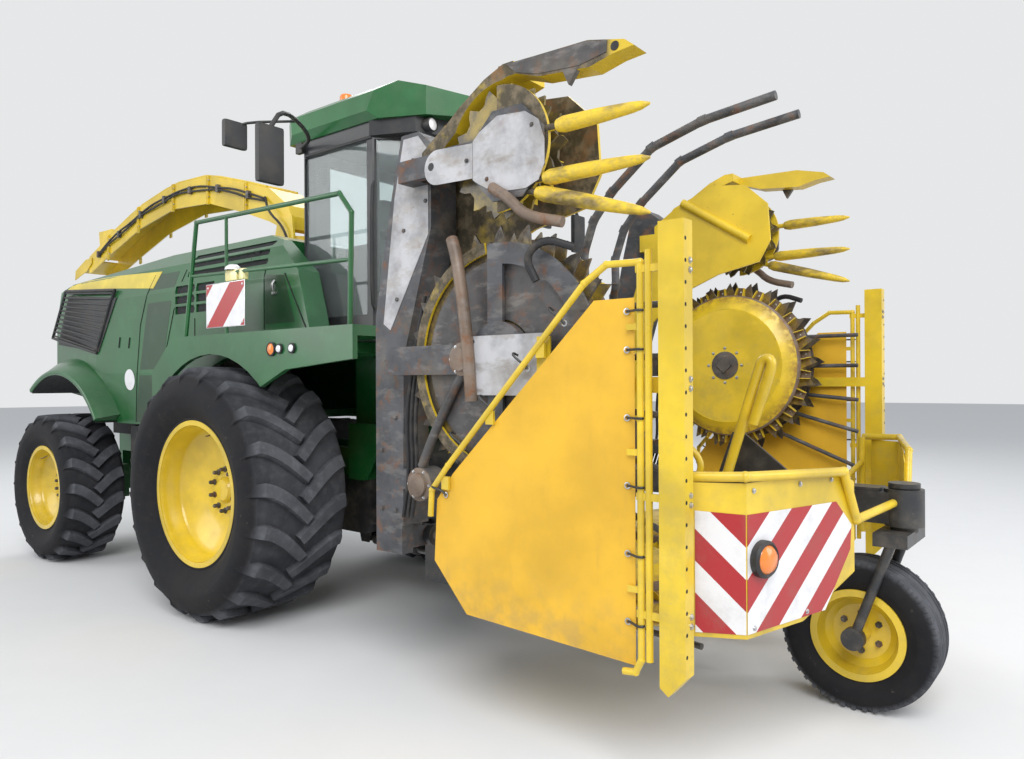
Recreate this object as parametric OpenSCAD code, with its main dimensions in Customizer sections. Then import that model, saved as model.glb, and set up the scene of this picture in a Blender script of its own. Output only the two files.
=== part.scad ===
// Self-propelled forage harvester with a folding rotary maize header.
// It stands as it parks and travels on the road: the header's two wings are folded up,
// a caster wheel carries the header's front, and cloth guards and striped boards cover its sides.
// +X is forward, +Y is the machine's left and +Z is up. The origin lies on the ground, under the
// middle of the whole machine. Lengths in the code are counted from the front axle.

/* [Layout] */
// Distance of the front axle ahead of the origin
front_axle_x = 327; // [312:1:342]
// Distance between the front and the rear axle
wheelbase = 3120; // [3100:1:3140]
// Half the distance between the middles of an axle's two tyres
half_track = 1210; // [1200:1:1220]

/* [Wheels] */
// Outer radius of a front tyre
front_tyre_r = 968; // [964:1:972]
// Width of a front tyre
front_tyre_w = 880; // [860:1:890]
// Radius of a front rim's flange
front_rim_r = 557; // [545:1:565]
// Outer radius of a rear tyre
rear_tyre_r = 747; // [743:1:751]
// Width of a rear tyre
rear_tyre_w = 600; // [580:1:620]
// Radius of a rear rim's flange
rear_rim_r = 424; // [415:1:432]
// Height of a tyre's lugs
lug_h = 50; // [46:1:54]
// Radius of the stub that a wheel turns on
wheel_pin_r = 70; // [64:1:76]
// Play of a wheel, rotor or pin on what it turns on
pin_play = 0.05; // [0.03:0.01:0.08]
// Distance of a rear wheel's steering pin from the machine's middle
king_pin_y = 820; // [810:1:830]

/* [Body] */
// Half the width of the hood
hood_half_w = 1150; // [1140:1:1160]
// Height of the hood's lower edge between the wheels
hood_foot_z = 1420; // [1410:1:1440]
// Radius of the arch cut over a front tyre
front_arch_r = 1062; // [1050:1:1070]
// Radius of the arch cut over a rear tyre
rear_arch_r = 1150; // [1140:1:1160]
// Height of the platform's top beside the cab
platform_z = 2180; // [2170:1:2190]
// Half the width of the platform
platform_half_w = 1420; // [1400:1:1440]

/* [Cab] */
// Half the width of the cab
cab_half_w = 900; // [890:1:905]
// Place of the cab's back wall ahead of the front axle
cab_back_x = 420; // [415:1:430]
// Height of the roof's underside
cab_roof_z = 3690; // [3670:1:3710]
// Thickness of the cab's walls
cab_wall = 50; // [46:1:56]
// Thickness of the glass
glass_t = 8; // [6:1:10]
// Thickness of the green roof
roof_t = 290; // [270:1:300]

/* [Spout] */
// Place of the spout's turning axis
spout_x = -780; // [-800:1:-770]
// Height of the hinge that the spout lifts on
spout_hinge_z = 3330; // [3320:1:3345]
// Width of the spout
spout_w = 380; // [360:1:400]
// Depth of the spout
spout_d = 360; // [340:1:370]
// Thickness of the spout's sheet
spout_t = 14; // [10:1:18]

/* [Header] */
// Place of the header's rotor axes ahead of the front axle
rotor_x = 3030; // [3022:1:3038]
// Radius of a large rotor to its teeth's tips
large_rotor_r = 690; // [680:1:694]
// Radius of a small rotor to its teeth's tips
small_rotor_r = 345; // [338:1:350]
// Half the distance between the two rotors in the middle
mid_rotor_y = 750; // [745:1:755]
// Distance of a wing's fold pin from the machine's middle
fold_y = 1185; // [1180:1:1190]
// Height of a wing's fold pin
fold_z = 865; // [860:1:870]
// Height of the large rotor on a folded wing
wing_large_z = 1930; // [1925:1:1936]
// Height of the small rotor on a folded wing
wing_small_z = 3000; // [2990:1:3010]
// Distance of a folded wing's rotor foot from the machine's middle
wing_foot_y = 1530; // [1526:1:1534]
// Thickness of a toothed rotor disc
rotor_disc_t = 14; // [10:1:16]
// Radius of a rotor's spindle
spindle_r = 50; // [46:1:54]

/* [Guards] */
// Distance of a guard post's middle from the machine's middle
post_y = 1630; // [1628:1:1634]
// Place of a guard post ahead of the front axle
post_x = 4050; // [4042:1:4058]
// Height of a guard post's top
post_top_z = 2490; // [2470:1:2510]
// Height of a guard post's foot
post_foot_z = 480; // [470:1:500]
// Radius of the guard frame's tubes
guard_tube_r = 16; // [14:1:18]
// Thickness of a cloth guard
tarp_t = 6; // [4:1:8]

/* [Caster] */
// Place of the caster's swivel axis
caster_x = 4590; // [4580:1:4600]
// Distance of the caster's axle behind its swivel axis
caster_trail = 215; // [205:1:225]
// Outer radius of the caster's tyre
caster_tyre_r = 410; // [404:1:416]
// Width of the caster's tyre
caster_tyre_w = 300; // [280:1:310]
// Radius of the caster rim's flange
caster_rim_r = 249; // [240:1:256]
// Radius of the caster's swivel pin
swivel_r = 40; // [36:1:44]

/* [Hidden] */
$fn = 48;

// Colours
green = [0.11, 0.38, 0.17];
yellow = [0.93, 0.76, 0.14];
black = [0.10, 0.11, 0.13];
grey = [0.45, 0.43, 0.43];
tyre_black = [0.07, 0.07, 0.08];

// Shared places
gap = 5;
soft_gap = 0.3;
rear_axle_x = -wheelbase;
rail_y = 330;
rail_w = 90;
rail_z = [1010, 1250];
hub_face_y = 800;

// Places
module machine() translate([front_axle_x, 0, 0]) children();
module both_sides() {
    children();
    mirror([0, 1, 0]) children();
}
module right_side() mirror([0, 1, 0]) children();

// Plain shapes
module span(x, y, z) translate([x[0], y[0], z[0]]) cube([x[1] - x[0], y[1] - y[0], z[1] - z[0]]);
module side_plate(points, y) translate([0, y[1], 0]) rotate([90, 0, 0])
    linear_extrude(y[1] - y[0]) polygon(points);
module cross_plate(points, x) translate([x[0], 0, 0]) rotate([90, 0, 90])
    linear_extrude(x[1] - x[0]) polygon(points);
module flat_plate(points, z) translate([0, 0, z[0]]) linear_extrude(z[1] - z[0]) polygon(points);
module along_y(x, y, z, r) translate([x, y[0], z]) rotate([-90, 0, 0]) cylinder(h = y[1] - y[0], r = r);
module along_x(x, y, z, r) translate([x[0], y, z]) rotate([0, 90, 0]) cylinder(h = x[1] - x[0], r = r);
module along_z(x, y, z, r) translate([x, y, z[0]]) cylinder(h = z[1] - z[0], r = r);
module rod(p, q, r) {
    d = q - p;
    translate(p) rotate([0, acos(d.z / norm(d)), atan2(d.y, d.x)]) cylinder(h = norm(d), r = r);
}
// A bent tube through the given points, with a slightly fuller knuckle at each bend
module bent_tube(points, r) {
    for (i = [1:len(points) - 1]) rod(points[i - 1], points[i], r);
    for (i = [1:len(points) - 2]) translate(points[i]) sphere(r = r * 1.12, $fn = 24);
}
// A bent bar of the same kind, with a short fuller sleeve at each bend
module sleeved_bar(points, r) {
    last = len(points) - 1;
    for (i = [1:last]) rod(points[i - 1], points[i], r);
    for (i = [1:last - 1]) {
        u = (points[i] - points[i - 1]) / norm(points[i] - points[i - 1]);
        v = (points[i + 1] - points[i]) / norm(points[i + 1] - points[i]);
        half = (u + v) / norm(u + v) * r * 0.9;
        rod(points[i] - half, points[i] + half, r * 1.12);
    }
}

// WHEELS
// The parts of a wheel are drawn about +Z, with +Z pointing out of the machine
module wheel_place(x, z, y) translate([x, y, z]) rotate([-90, 0, 0]) children();

flange_lean = 4;
module tyre_shape(r, w, rim_r) {
    bead_r = rim_r - 24;
    half = w / 2;
    wall = r - bead_r;
    rotate_extrude($fn = 72) polygon([[bead_r, -half * 0.74],
        [rim_r, -half * 0.74 - flange_lean], [rim_r + 8, -half * 0.80],
        [bead_r + wall * 0.35, -half * 0.96], [bead_r + wall * 0.60, -half],
        [bead_r + wall * 0.92, -half * 0.95], [r, -half * 0.84],
        [r, half * 0.84], [bead_r + wall * 0.92, half * 0.95], [bead_r + wall * 0.60, half],
        [bead_r + wall * 0.35, half * 0.96], [rim_r + 8, half * 0.80],
        [rim_r, half * 0.74 + flange_lean], [bead_r, half * 0.74]]);
}
// Flat outline of one lug: place along the tyre's round, and place across as a share of its width
lug_line = [[140, -0.02], [55, -0.02], [-50, 0.19], [-135, 0.44], [-65, 0.44], [30, 0.22]];
lug_line_w = 880;
// A tyre whose two rows of lugs sweep back from its middle to its shoulders
module lugged_tyre(r, w, rim_r, lugs) {
    tyre_shape(r - lug_h, w, rim_r);
    intersection() {
        for (side = [-1, 1], i = [0:lugs - 1]) rotate([0, 0, 360 / lugs * (i + side / 4)])
            translate([r - lug_h * 2, 0, 0]) rotate([0, 90, 0]) linear_extrude(lug_h * 2.2)
                polygon([for (p = lug_line) [-side * p[1] * w, p[0] * w / lug_line_w]]);
        translate([0, 0, -w / 2]) cylinder(h = w, r = r, $fn = 72);
    }
}
module rim_shape(w, rim_r, disc_z, hub_z, bore_r) {
    half = w / 2;
    bead_r = rim_r - 24;
    barrel_t = 14;
    disc_t = 26;
    hub_r = bore_r * 2.1;
    rotate_extrude($fn = 72) polygon([[bead_r, -half], [rim_r, -half - flange_lean], [rim_r, -half - 18],
        [bead_r - barrel_t, -half - 18], [bead_r - barrel_t - 40, -half * 0.2],
        [bead_r - barrel_t - 40, disc_z - disc_t], [bore_r, disc_z - disc_t],
        [bore_r, disc_z], [bead_r - barrel_t - 60, disc_z], [bead_r - barrel_t - 24, half * 0.55],
        [bead_r - barrel_t, half + 18], [rim_r, half + 18], [rim_r, half + flange_lean], [bead_r, half]]);
    difference() {
        translate([0, 0, hub_z[0]]) cylinder(h = hub_z[1] - hub_z[0], r = hub_r);
        translate([0, 0, hub_z[0] - 1]) cylinder(h = hub_z[1] - hub_z[0] + 2, r = bore_r);
    }
}
module front_rim() machine() wheel_place(0, front_tyre_r, half_track)
    rim_shape(front_tyre_w * 0.74, front_rim_r, -40, [-220, 20], wheel_pin_r + pin_play);
module front_tyre() machine() wheel_place(0, front_tyre_r, half_track)
    lugged_tyre(front_tyre_r, front_tyre_w, front_rim_r, 20);
module rear_rim() machine() wheel_place(rear_axle_x, rear_tyre_r, half_track)
    rim_shape(rear_tyre_w * 0.74, rear_rim_r, -20, [-150, 30], wheel_pin_r + pin_play);
module rear_tyre() machine() wheel_place(rear_axle_x, rear_tyre_r, half_track)
    lugged_tyre(rear_tyre_r, rear_tyre_w, rear_rim_r, 18);

module front_rim_left() color(yellow) front_rim();
module front_rim_right() color(yellow) right_side() front_rim();
module front_tyre_left() color(tyre_black) front_tyre();
module front_tyre_right() color(tyre_black) right_side() front_tyre();
module rear_rim_left() color(yellow) rear_rim();
module rear_rim_right() color(yellow) right_side() rear_rim();
module rear_tyre_left() color(tyre_black) rear_tyre();
module rear_tyre_right() color(tyre_black) right_side() rear_tyre();

// CHASSIS
knuckle_z = [rear_tyre_r - 130, rear_tyre_r + 130];
king_r = 35;
hitch_x = [-4080, -3900];
hitch_pin_r = 16;
hitch_z = 700;
rail_x = [-3820, 690];
deck_z = 2010;
pivot_y = 470;
module rear_beam() span([rail_x[0] - 80, rail_x[0]], [-rail_y, rail_y], [560, 1700]);
module chassis_frame() color(green) machine() difference() {
    union() {
        both_sides() {
            span(rail_x, [rail_y - rail_w, rail_y], rail_z);
            span([rear_axle_x - 130, rear_axle_x + 130], [rail_y - rail_w, rail_y],
                [rear_tyre_r + 110, rail_z[0]]);
            // Bracket that carries the feed cabinet's pivot
            span([500, 690], [rail_y, pivot_y], rail_z);
            side_plate([[500, rail_z[0]], [690, rail_z[0]], [900, 1340], [900, 1470], [500, 1470]],
                [pivot_y - 35, pivot_y]);
            along_y(lift_x, [feed_half_w - 40, pivot_y], lift_z, 40);
            // Post and brace under the cab deck
            side_plate([[430, rail_z[1]], [600, rail_z[1]], [1300, deck_z], [430, deck_z]],
                [rail_y - rail_w, rail_y]);
            // Outrigger under the hood's side
            span([-1350, -1260], [rail_y - rail_w, rail_y], [rail_z[1], hood_foot_z + 10]);
        }
        for (x = [rail_x[0], -2450, -1350, -620, 500])
            span([x, x + 90], [rail_w - rail_y, rail_y - rail_w], rail_z);
        span([-1350, -1260], [60 - hood_half_w, hood_half_w - 60], [hood_foot_z + 10, hood_foot_z + 90]);
        // Cab deck and the beam under the platforms
        span([430, 1650], [-700, 700], [deck_z, cab_floor_z]);
        span([1000, 1080], [-(platform_half_w - 40), platform_half_w - 40], [deck_z + 20, cab_floor_z]);
        // Rear beam with the towing ears
        rear_beam();
        for (z = [hitch_z - 80, hitch_z + 50]) span(hitch_x, [-70, 70], [z, z + 30]);
    }
    along_z(hitch_x[0] + 60, 0, [hitch_z - 90, hitch_z + 90], hitch_pin_r);
}
module axles() color(green) machine() {
    // Front axle with its final drives and wheel stubs
    span([-150, 150], [-(hub_face_y - 60), hub_face_y - 60], [front_tyre_r - 160, rail_z[0]]);
    both_sides() {
        along_y(0, [hub_face_y - 60, hub_face_y - 16], front_tyre_r, 230);
        along_y(0, [hub_face_y - 16, half_track + 40], front_tyre_r, wheel_pin_r);
    }
    // Rear axle beam, hung under the frame, with a yoke for each steering knuckle
    span([rear_axle_x - 110, rear_axle_x + 110], [-(king_pin_y - 90), king_pin_y - 90],
        [rear_tyre_r - 90, rear_tyre_r + 110]);
    both_sides() {
        for (z = [knuckle_z[0] - gap - 40, knuckle_z[1] + gap])
            span([rear_axle_x - 60, rear_axle_x + 60], [king_pin_y - 180, king_pin_y + 50], [z, z + 40]);
        span([rear_axle_x - 110, rear_axle_x + 110], [king_pin_y - 190, king_pin_y - 90],
            [knuckle_z[0] - gap - 40, knuckle_z[1] + gap + 40]);
        along_z(rear_axle_x, king_pin_y, [knuckle_z[0] - gap - 20, knuckle_z[1] + gap + 20], king_r);
    }
}
module knuckle() machine() {
    difference() {
        along_z(rear_axle_x, king_pin_y, knuckle_z, 75);
        along_z(rear_axle_x, king_pin_y, [knuckle_z[0] - 1, knuckle_z[1] + 1], king_r + pin_play);
    }
    along_y(rear_axle_x, [king_pin_y + 60, half_track - 165], rear_tyre_r, 110);
    along_y(rear_axle_x, [half_track - 165, half_track + 50], rear_tyre_r, wheel_pin_r);
}
module knuckle_left() color(black) knuckle();
module knuckle_right() color(black) right_side() knuckle();

engine_x = [-2650, -1500];
module engine_block() color(grey) machine()
    span(engine_x, [-(rail_y + 60), rail_y + 60], [rail_z[1], rail_z[1] + 900]);

module cutter_housing() color(black) machine() {
    // Cutter drum housing ahead of the front axle
    side_plate([[170, 560], [620, 560], [690, 640], [690, rail_z[0]], [170, rail_z[0]]],
        [-feed_half_w, feed_half_w]);
    // Blower and gearbox behind it
    side_plate([[-820, 700], [-180, 620], [-180, rail_z[0]], [-820, rail_z[0]]], [-300, 300]);
    // Ears and pins of the two lift cylinders
    both_sides() {
        for (y = [cyl_y - 40, cyl_y + 25])
            side_plate([[barrel_pin[0] - 45, 440], [barrel_pin[0] + 45, 440], [barrel_pin[0] + 80, 561],
                [barrel_pin[0] - 80, 561]], [y, y + 15]);
        along_y(barrel_pin[0], [cyl_y - 40, cyl_y + 40], barrel_pin[1], 20);
    }
}

// HOOD
hood_top = [[-3560, 2790], [-3260, 2860], [-2400, 2920], [-1300, 3010], [-530, 3060],
    [60, 3020], [420, 2920], [760, 2640], [900, platform_z]];
hood_tail = [[-3960, 1640], [-3990, 1760]];
hood_cavity_z = 2640;
ring_z = 3085;
module hood_body() intersection() {
    side_plate(concat([[900, platform_z], [-1050, hood_foot_z], [-3870, hood_foot_z]], hood_tail,
        hood_top), [-hood_half_w - 20, hood_half_w + 20]);
    cross_plate([[-hood_half_w + 30, 1300], [hood_half_w - 30, 1300], [hood_half_w, 1900],
        [hood_half_w, 2620], [hood_half_w - 60, 2860], [hood_half_w - 200, 3000],
        [hood_half_w - 420, 3070], [420 - hood_half_w, 3070], [200 - hood_half_w, 3000],
        [60 - hood_half_w, 2860], [-hood_half_w, 2620], [-hood_half_w, 1900]], [-4000, 920]);
    flat_plate([[-4000, 820 - hood_half_w], [-3700, 60 - hood_half_w], [-2600, -hood_half_w],
        [920, -hood_half_w], [920, hood_half_w], [-2600, hood_half_w], [-3700, hood_half_w - 60],
        [-4000, hood_half_w - 820]], [1300, 3100]);
}
// Slatted panel in each side near the back: the slab of side wall that it takes up
grille_outline = [[-3640, 2230], [-2520, 2120], [-2130, 2640], [-3330, 2740]];
grille_depth = 24;
module grille_slab() difference() {
    side_plate(grille_outline, [hood_half_w - 200, hood_half_w + 20]);
    translate([0, -grille_depth, 0]) hood_body();
}
// Louvres in each side, cut as shallow slots: place along the hood, heights of the rows, height of a slot
louvres = [[[-1020, -715], [2410, 2500, 2590], 68], [[-670, -400], [2410, 2500, 2590], 68],
    [[-860, 320], [2730, 2806, 2882], 46]];
louvre_depth = 16;
module louvre_slots() difference() {
    for (l = louvres, z = l[1]) side_plate([[l[0][0], z], [l[0][1], z], [l[0][1] + l[2] / 3, z + l[2] / 2],
        [l[0][1], z + l[2]], [l[0][0], z + l[2]]], [hood_half_w - 200, hood_half_w + 20]);
    translate([0, -louvre_depth, 0]) hood_body();
}
// Flared lip round the back of the arch over a rear tyre
lip_y = 1340;
lip_t = 40;
module arch_lip() difference() {
    along_y(rear_axle_x, [hood_half_w - 58, lip_y], rear_tyre_r, rear_arch_r + lip_t);
    along_y(rear_axle_x, [hood_half_w - 61, lip_y + 1], rear_tyre_r, rear_arch_r);
    span([rear_axle_x - 1300, rear_axle_x + 1300], [hood_half_w - 61, lip_y + 1], [-500, hood_foot_z + 60]);
    span([rear_axle_x - 1300, rear_axle_x - 620], [hood_half_w - 61, lip_y + 1], [0, 2100]);
}
module hood() color(green) machine() {
    both_sides() arch_lip();
    // Fixed ring that the spout turns on
    difference() {
        union() {
            along_z(spout_x, 0, [2900, ring_z], 300);
            along_z(spout_x, 0, [2900, collar_top_z], 150);
        }
        along_z(spout_x, 0, [2950, ring_z + 81], 125);
    }
    difference() {
        hood_body();
        both_sides() grille_slab();
        both_sides() louvre_slots();
        rear_beam();
        // Engine bay, and the bay over the front axle
        span([-3600, -900], [-(hood_half_w - 60), hood_half_w - 60], [1200, hood_cavity_z]);
        span([-901, cab_back_x - 60], [-(hood_half_w - 60), hood_half_w - 60], [1200, 2400]);
        // Room for the cab, with the side panel left on the right
        span([cab_back_x - 60.5, 930], [-(cab_half_w + 60), hood_half_w + 1], [1200, 3100]);
        // Wheel arches
        along_y(0, [-(hood_half_w + 1), hood_half_w + 1], front_tyre_r, front_arch_r);
        along_y(rear_axle_x, [-(hood_half_w + 1), hood_half_w + 1], rear_tyre_r, rear_arch_r);
    }
}
module hood_grilles() color(black) machine() both_sides() intersection() {
    grille_slab();
    translate([0, 8, 0]) hood_body();
}

// PLATFORMS, RAILS AND LADDER
platform_x = [-560, 1700];
module fender_side() difference() {
    union() {
        span(platform_x, [cab_half_w + 75, platform_half_w], [cab_floor_z, platform_z]);
        side_plate([[platform_x[0] - 340, 1900], [platform_x[0] - 340, 1500], [0, 1500], [980, 1900],
            [platform_x[1], 1960], [platform_x[1], platform_z], [platform_x[0], platform_z]],
            [platform_half_w - 40, platform_half_w]);
    }
    along_y(0, [cab_half_w, platform_half_w + 1], front_tyre_r, front_arch_r);
}
module fenders() color(green) machine() difference() {
    both_sides() fender_side();
    span([-1000, cab_back_x - 60.5], [-hood_half_w, hood_half_w], [1400, platform_z + 1]);
    span([cab_back_x - 61, 905], [-hood_half_w, -cab_half_w], [1400, platform_z + 1]);
}

rail_tube_r = 17;
rail_post_r = 13;
rail_y_out = platform_half_w - 30;
module rail_side(front_x) difference() {
    union() {
        bent_tube([[-401, rail_y_out, platform_z - 6], [-230, rail_y_out, 3080],
            [front_x - 120, rail_y_out, 3040], [front_x, rail_y_out, 2900],
            [front_x - 20, rail_y_out, platform_z - 6]], rail_tube_r);
        rod([-310, rail_y_out, 2660], [front_x - 10, rail_y_out, 2600], rail_post_r);
        rod([200, rail_y_out, platform_z - 6], [200, rail_y_out, 3060], rail_post_r);
    }
    span([-500, 1800], [rail_y_out - 40, rail_y_out + 40], [platform_z - 40, platform_z]);
}
module handrails() color(green) machine() {
    right_side() rail_side(1660);
    rail_side(530);
}

ladder_x = [1130, 1560];
module ladder() color(black) machine() {
    for (x = [ladder_x[0], ladder_x[1] - 40])
        span([x, x + 40], [platform_half_w, platform_half_w + 60], [480, platform_z]);
    for (z = [520, 850, 1180, 1510, 1840])
        span([ladder_x[0] + 40, ladder_x[1] - 40], [platform_half_w - 100, platform_half_w + 60],
            [z, z + 40]);
}

// CAB
cab_floor_z = 2110;
cab_side_x = [cab_back_x + 70, 1240];
cab_front_x = 1700;
sill_z = 2300;
head_z = cab_roof_z - 130;
door_z = [platform_z + 10, head_z - 20];
function cab_plan(d) = [[cab_back_x + d, -(cab_half_w - 90 - d)], [cab_back_x + 80, -(cab_half_w - d)],
    [1300, -(cab_half_w - d)], [1560 - d / 2, -(cab_half_w - 250 - d / 2)],
    [cab_front_x - d, -(cab_half_w - 600 - d / 4)], [cab_front_x - d, cab_half_w - 600 - d / 4],
    [1560 - d / 2, cab_half_w - 250 - d / 2], [1300, cab_half_w - d],
    [cab_back_x + 80, cab_half_w - d], [cab_back_x + d, cab_half_w - 90 - d]];
door_gap = 6;
door_hinge_x = cab_side_x[0] + 14;
door_hinge_y = cab_half_w + 26;
door_pin_r = 8;
door_hinge_z = [door_z[0] + 146, door_z[1] - 226];
module visor() difference() {
    flat_plate([[1290, -cab_half_w - 20], [1620, -cab_half_w + 120], [1800, -340], [1800, 340],
        [1620, cab_half_w - 120], [1290, cab_half_w + 20]], [head_z + 20, cab_roof_z]);
    flat_plate(cab_plan(0), [head_z, cab_roof_z + 1]);
}
module cab_shell() color(black) machine() {
    difference() {
        flat_plate(cab_plan(0), [cab_floor_z, cab_roof_z]);
        flat_plate(cab_plan(cab_wall), [cab_floor_z + 60, cab_roof_z - 40]);
        // Right window, doorway on the left, back window and windscreen
        span([cab_side_x[0] + 20, cab_side_x[1]], [-cab_half_w - 1, -cab_half_w + cab_wall + 1],
            [sill_z, head_z]);
        span(cab_side_x, [cab_half_w - cab_wall - 1, cab_half_w + 1], door_z);
        span([cab_back_x - 1, cab_back_x + cab_wall + 1], [-620, 620], [2700, head_z]);
        span([1310, cab_front_x + 1], [-cab_half_w - 1, cab_half_w + 1], [sill_z, head_z]);
    }
    visor();
    // Ears and pins of the door's two hinges
    for (h = door_hinge_z) {
        for (z = [h - 35, h + 85])
            flat_plate([[450, cab_half_w - 66], [484, cab_half_w - 30], [484, cab_half_w - 1],
                [door_hinge_x + 6, cab_half_w + 14],
                [door_hinge_x + 18, door_hinge_y], [door_hinge_x + 12, door_hinge_y + 14],
                [door_hinge_x, door_hinge_y + 18], [450, cab_half_w + 30]], [z, z + 30]);
        along_z(door_hinge_x, door_hinge_y, [h - 20, h + 100], door_pin_r);
    }
}
roof_edge = cab_half_w + 55;
module cab_roof() color(green) machine() intersection() {
    side_plate([[cab_back_x - 90, cab_roof_z], [1830, cab_roof_z], [1960, cab_roof_z + 40],
        [1900, cab_roof_z + 150], [1500, cab_roof_z + roof_t - 30], [900, cab_roof_z + roof_t],
        [cab_back_x, cab_roof_z + roof_t], [cab_back_x - 110, cab_roof_z + roof_t - 120]],
        [-roof_edge, roof_edge]);
    cross_plate([[-roof_edge + 40, cab_roof_z], [roof_edge - 40, cab_roof_z],
        [roof_edge, cab_roof_z + 60], [roof_edge - 25, cab_roof_z + 200],
        [roof_edge - 160, cab_roof_z + roof_t], [160 - roof_edge, cab_roof_z + roof_t],
        [25 - roof_edge, cab_roof_z + 200], [-roof_edge, cab_roof_z + 60]], [0, 2000]);
    flat_plate([[cab_back_x - 120, -roof_edge + 60], [cab_back_x, -roof_edge], [1300, -roof_edge],
        [1700, -roof_edge + 200], [1960, -420], [1960, 420], [1700, roof_edge - 200],
        [1300, roof_edge], [cab_back_x, roof_edge], [cab_back_x - 120, roof_edge - 60]],
        [cab_roof_z - 1, cab_roof_z + roof_t + 1]);
}
module cab_glass() color([0.6, 0.7, 0.75, 0.4]) machine() {
    intersection() {
        difference() {
            flat_plate(cab_plan(18), [sill_z, head_z]);
            flat_plate(cab_plan(18 + glass_t), [sill_z - 1, head_z + 1]);
        }
        span([1310, cab_front_x + 1], [-cab_half_w, cab_half_w], [sill_z, head_z]);
    }
    span([cab_side_x[0] + 20, cab_side_x[1]], [-cab_half_w + 18, -cab_half_w + 18 + glass_t],
        [sill_z, head_z]);
    span([cab_back_x + 18, cab_back_x + 18 + glass_t], [-620, 620], [2700, head_z]);
}
module door_frame() color(black) machine() {
    x = [cab_side_x[0] + door_gap, cab_side_x[1] - door_gap];
    y = [cab_half_w - cab_wall + 4, cab_half_w];
    z = [door_z[0] + door_gap, door_z[1] - door_gap];
    difference() {
        span(x, y, z);
        span([x[0] + 70, x[1] - 60], [y[0] - 1, y[1] + 1], [z[0] + 230, z[1] - 70]);
    }
    // Hinge barrels, and the grip at the front
    for (h = door_hinge_z) difference() {
        union() {
            along_z(door_hinge_x, door_hinge_y, [h, h + 80], 18);
            span([door_hinge_x - 8, door_hinge_x + 18], [cab_half_w - 1, door_hinge_y], [h, h + 80]);
        }
        along_z(door_hinge_x, door_hinge_y, [h - 1, h + 81], door_pin_r + pin_play);
    }
    sleeved_bar([[x[1] - 30, y[1], 2760], [x[1] - 30, y[1] + 40, 2780], [x[1] - 30, y[1] + 40, 3060],
        [x[1] - 30, y[1], 3080]], 10);
}
module door_glass() color([0.6, 0.7, 0.75, 0.4]) machine() {
    x = [cab_side_x[0] + door_gap, cab_side_x[1] - door_gap];
    z = [door_z[0] + door_gap, door_z[1] - door_gap];
    span([x[0] + 70, x[1] - 60], [cab_half_w - 30, cab_half_w - 30 + glass_t], [z[0] + 230, z[1] - 70]);
}
seat_x = 640;
seat_z = [cab_floor_z + 580, cab_floor_z + 690, head_z - 200];
module seat() color([0.12, 0.12, 0.13]) machine() {
    side_plate([[seat_x, seat_z[0]], [seat_x + 480, seat_z[0]], [seat_x + 500, seat_z[1]],
        [seat_x + 110, seat_z[1]], [seat_x + 20, seat_z[2]], [seat_x - 90, seat_z[2]]], [-250, 250]);
}
module cab_controls() color(black) machine() {
    inner_floor = cab_floor_z + 60;
    // Seat stand
    span([seat_x + 60, seat_x + 420], [-170, 170], [inner_floor, seat_z[0] - soft_gap]);
    // Side console
    span([seat_x - 40, seat_x + 560], [-560, -300], [inner_floor, seat_z[1] + 80]);
    // Steering column and wheel
    along_z(1440, 0, [inner_floor, inner_floor + 40], 65);
    wheel_z = cab_floor_z + 818;
    rod([1440, 0, inner_floor + 20], [1302, 0, wheel_z - 8], 40);
    translate([1300, 0, wheel_z]) rotate([0, -20, 0]) rotate_extrude($fn = 36)
        translate([200, 0]) circle(r = 16, $fn = 16);
    translate([1300, 0, wheel_z]) rotate([0, -20, 0]) {
        cylinder(h = 24, r = 45, center = true);
        for (a = [0, 120, 240]) rotate([0, 0, a]) translate([30, -12, -8]) cube([165, 24, 14]);
    }
}
mirror_arm = [[480, cab_half_w + 20, cab_roof_z - 50], [760, roof_edge + 60, cab_roof_z - 40],
    [1290, 1640, cab_roof_z - 100], [1302, 1752, cab_roof_z - 290]];
module mirrors() color(black) machine() both_sides() {
    span([440, 520], [cab_half_w, cab_half_w + 40], [cab_roof_z - 90, cab_roof_z - 10]);
    // Arm, with a clamp block at each bend
    for (i = [0:2]) rod(mirror_arm[i], mirror_arm[i + 1], 16 - i);
    for (i = [1:2]) translate(mirror_arm[i]) cube([42, 42, 42], center = true);
    span([1275, 1325], [1655, 1845], [cab_roof_z - 620, cab_roof_z - 250]);
    // Small second mirror on a stay of its own
    rod([1064, 1365, cab_roof_z - 76], [902, 1742, cab_roof_z - 190], 9);
    span([880, 925], [1665, 1835], [cab_roof_z - 320, cab_roof_z - 140]);
}

// Lamps
work_lamps = [[1740, 250], [1700, 480], [1600, 690]];
module lamps() color([0.95, 0.55, 0.12]) machine() {
    // Turning beacon on the roof
    along_z(600, -560, [cab_roof_z + roof_t, cab_roof_z + roof_t + 60], 52);
    along_z(600, -560, [cab_roof_z + roof_t + 60, cab_roof_z + roof_t + 160], 62);
    // Work lamps on the visor under the roof's front edge
    difference() {
        both_sides() for (p = work_lamps) along_x([p[0], p[0] + 110], p[1], cab_roof_z - 55, 50);
        visor();
        flat_plate(cab_plan(0), [cab_floor_z, cab_roof_z]);
    }
    // Small lamps on the platform's skirt
    both_sides() for (x = [760, 1020]) along_y(x, [platform_half_w, platform_half_w + 24], 2070, 42);
    // Tail lamps
    difference() {
        both_sides() along_x([-3790, -3600], 620, 2350, 60);
        hood_body();
    }
}
board_x = [-60, 470];
module side_boards() color([0.9, 0.9, 0.88]) machine() both_sides() {
    span(board_x, [rail_y_out + rail_post_r, rail_y_out + rail_post_r + 6], [2230, 2570]);
}

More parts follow.
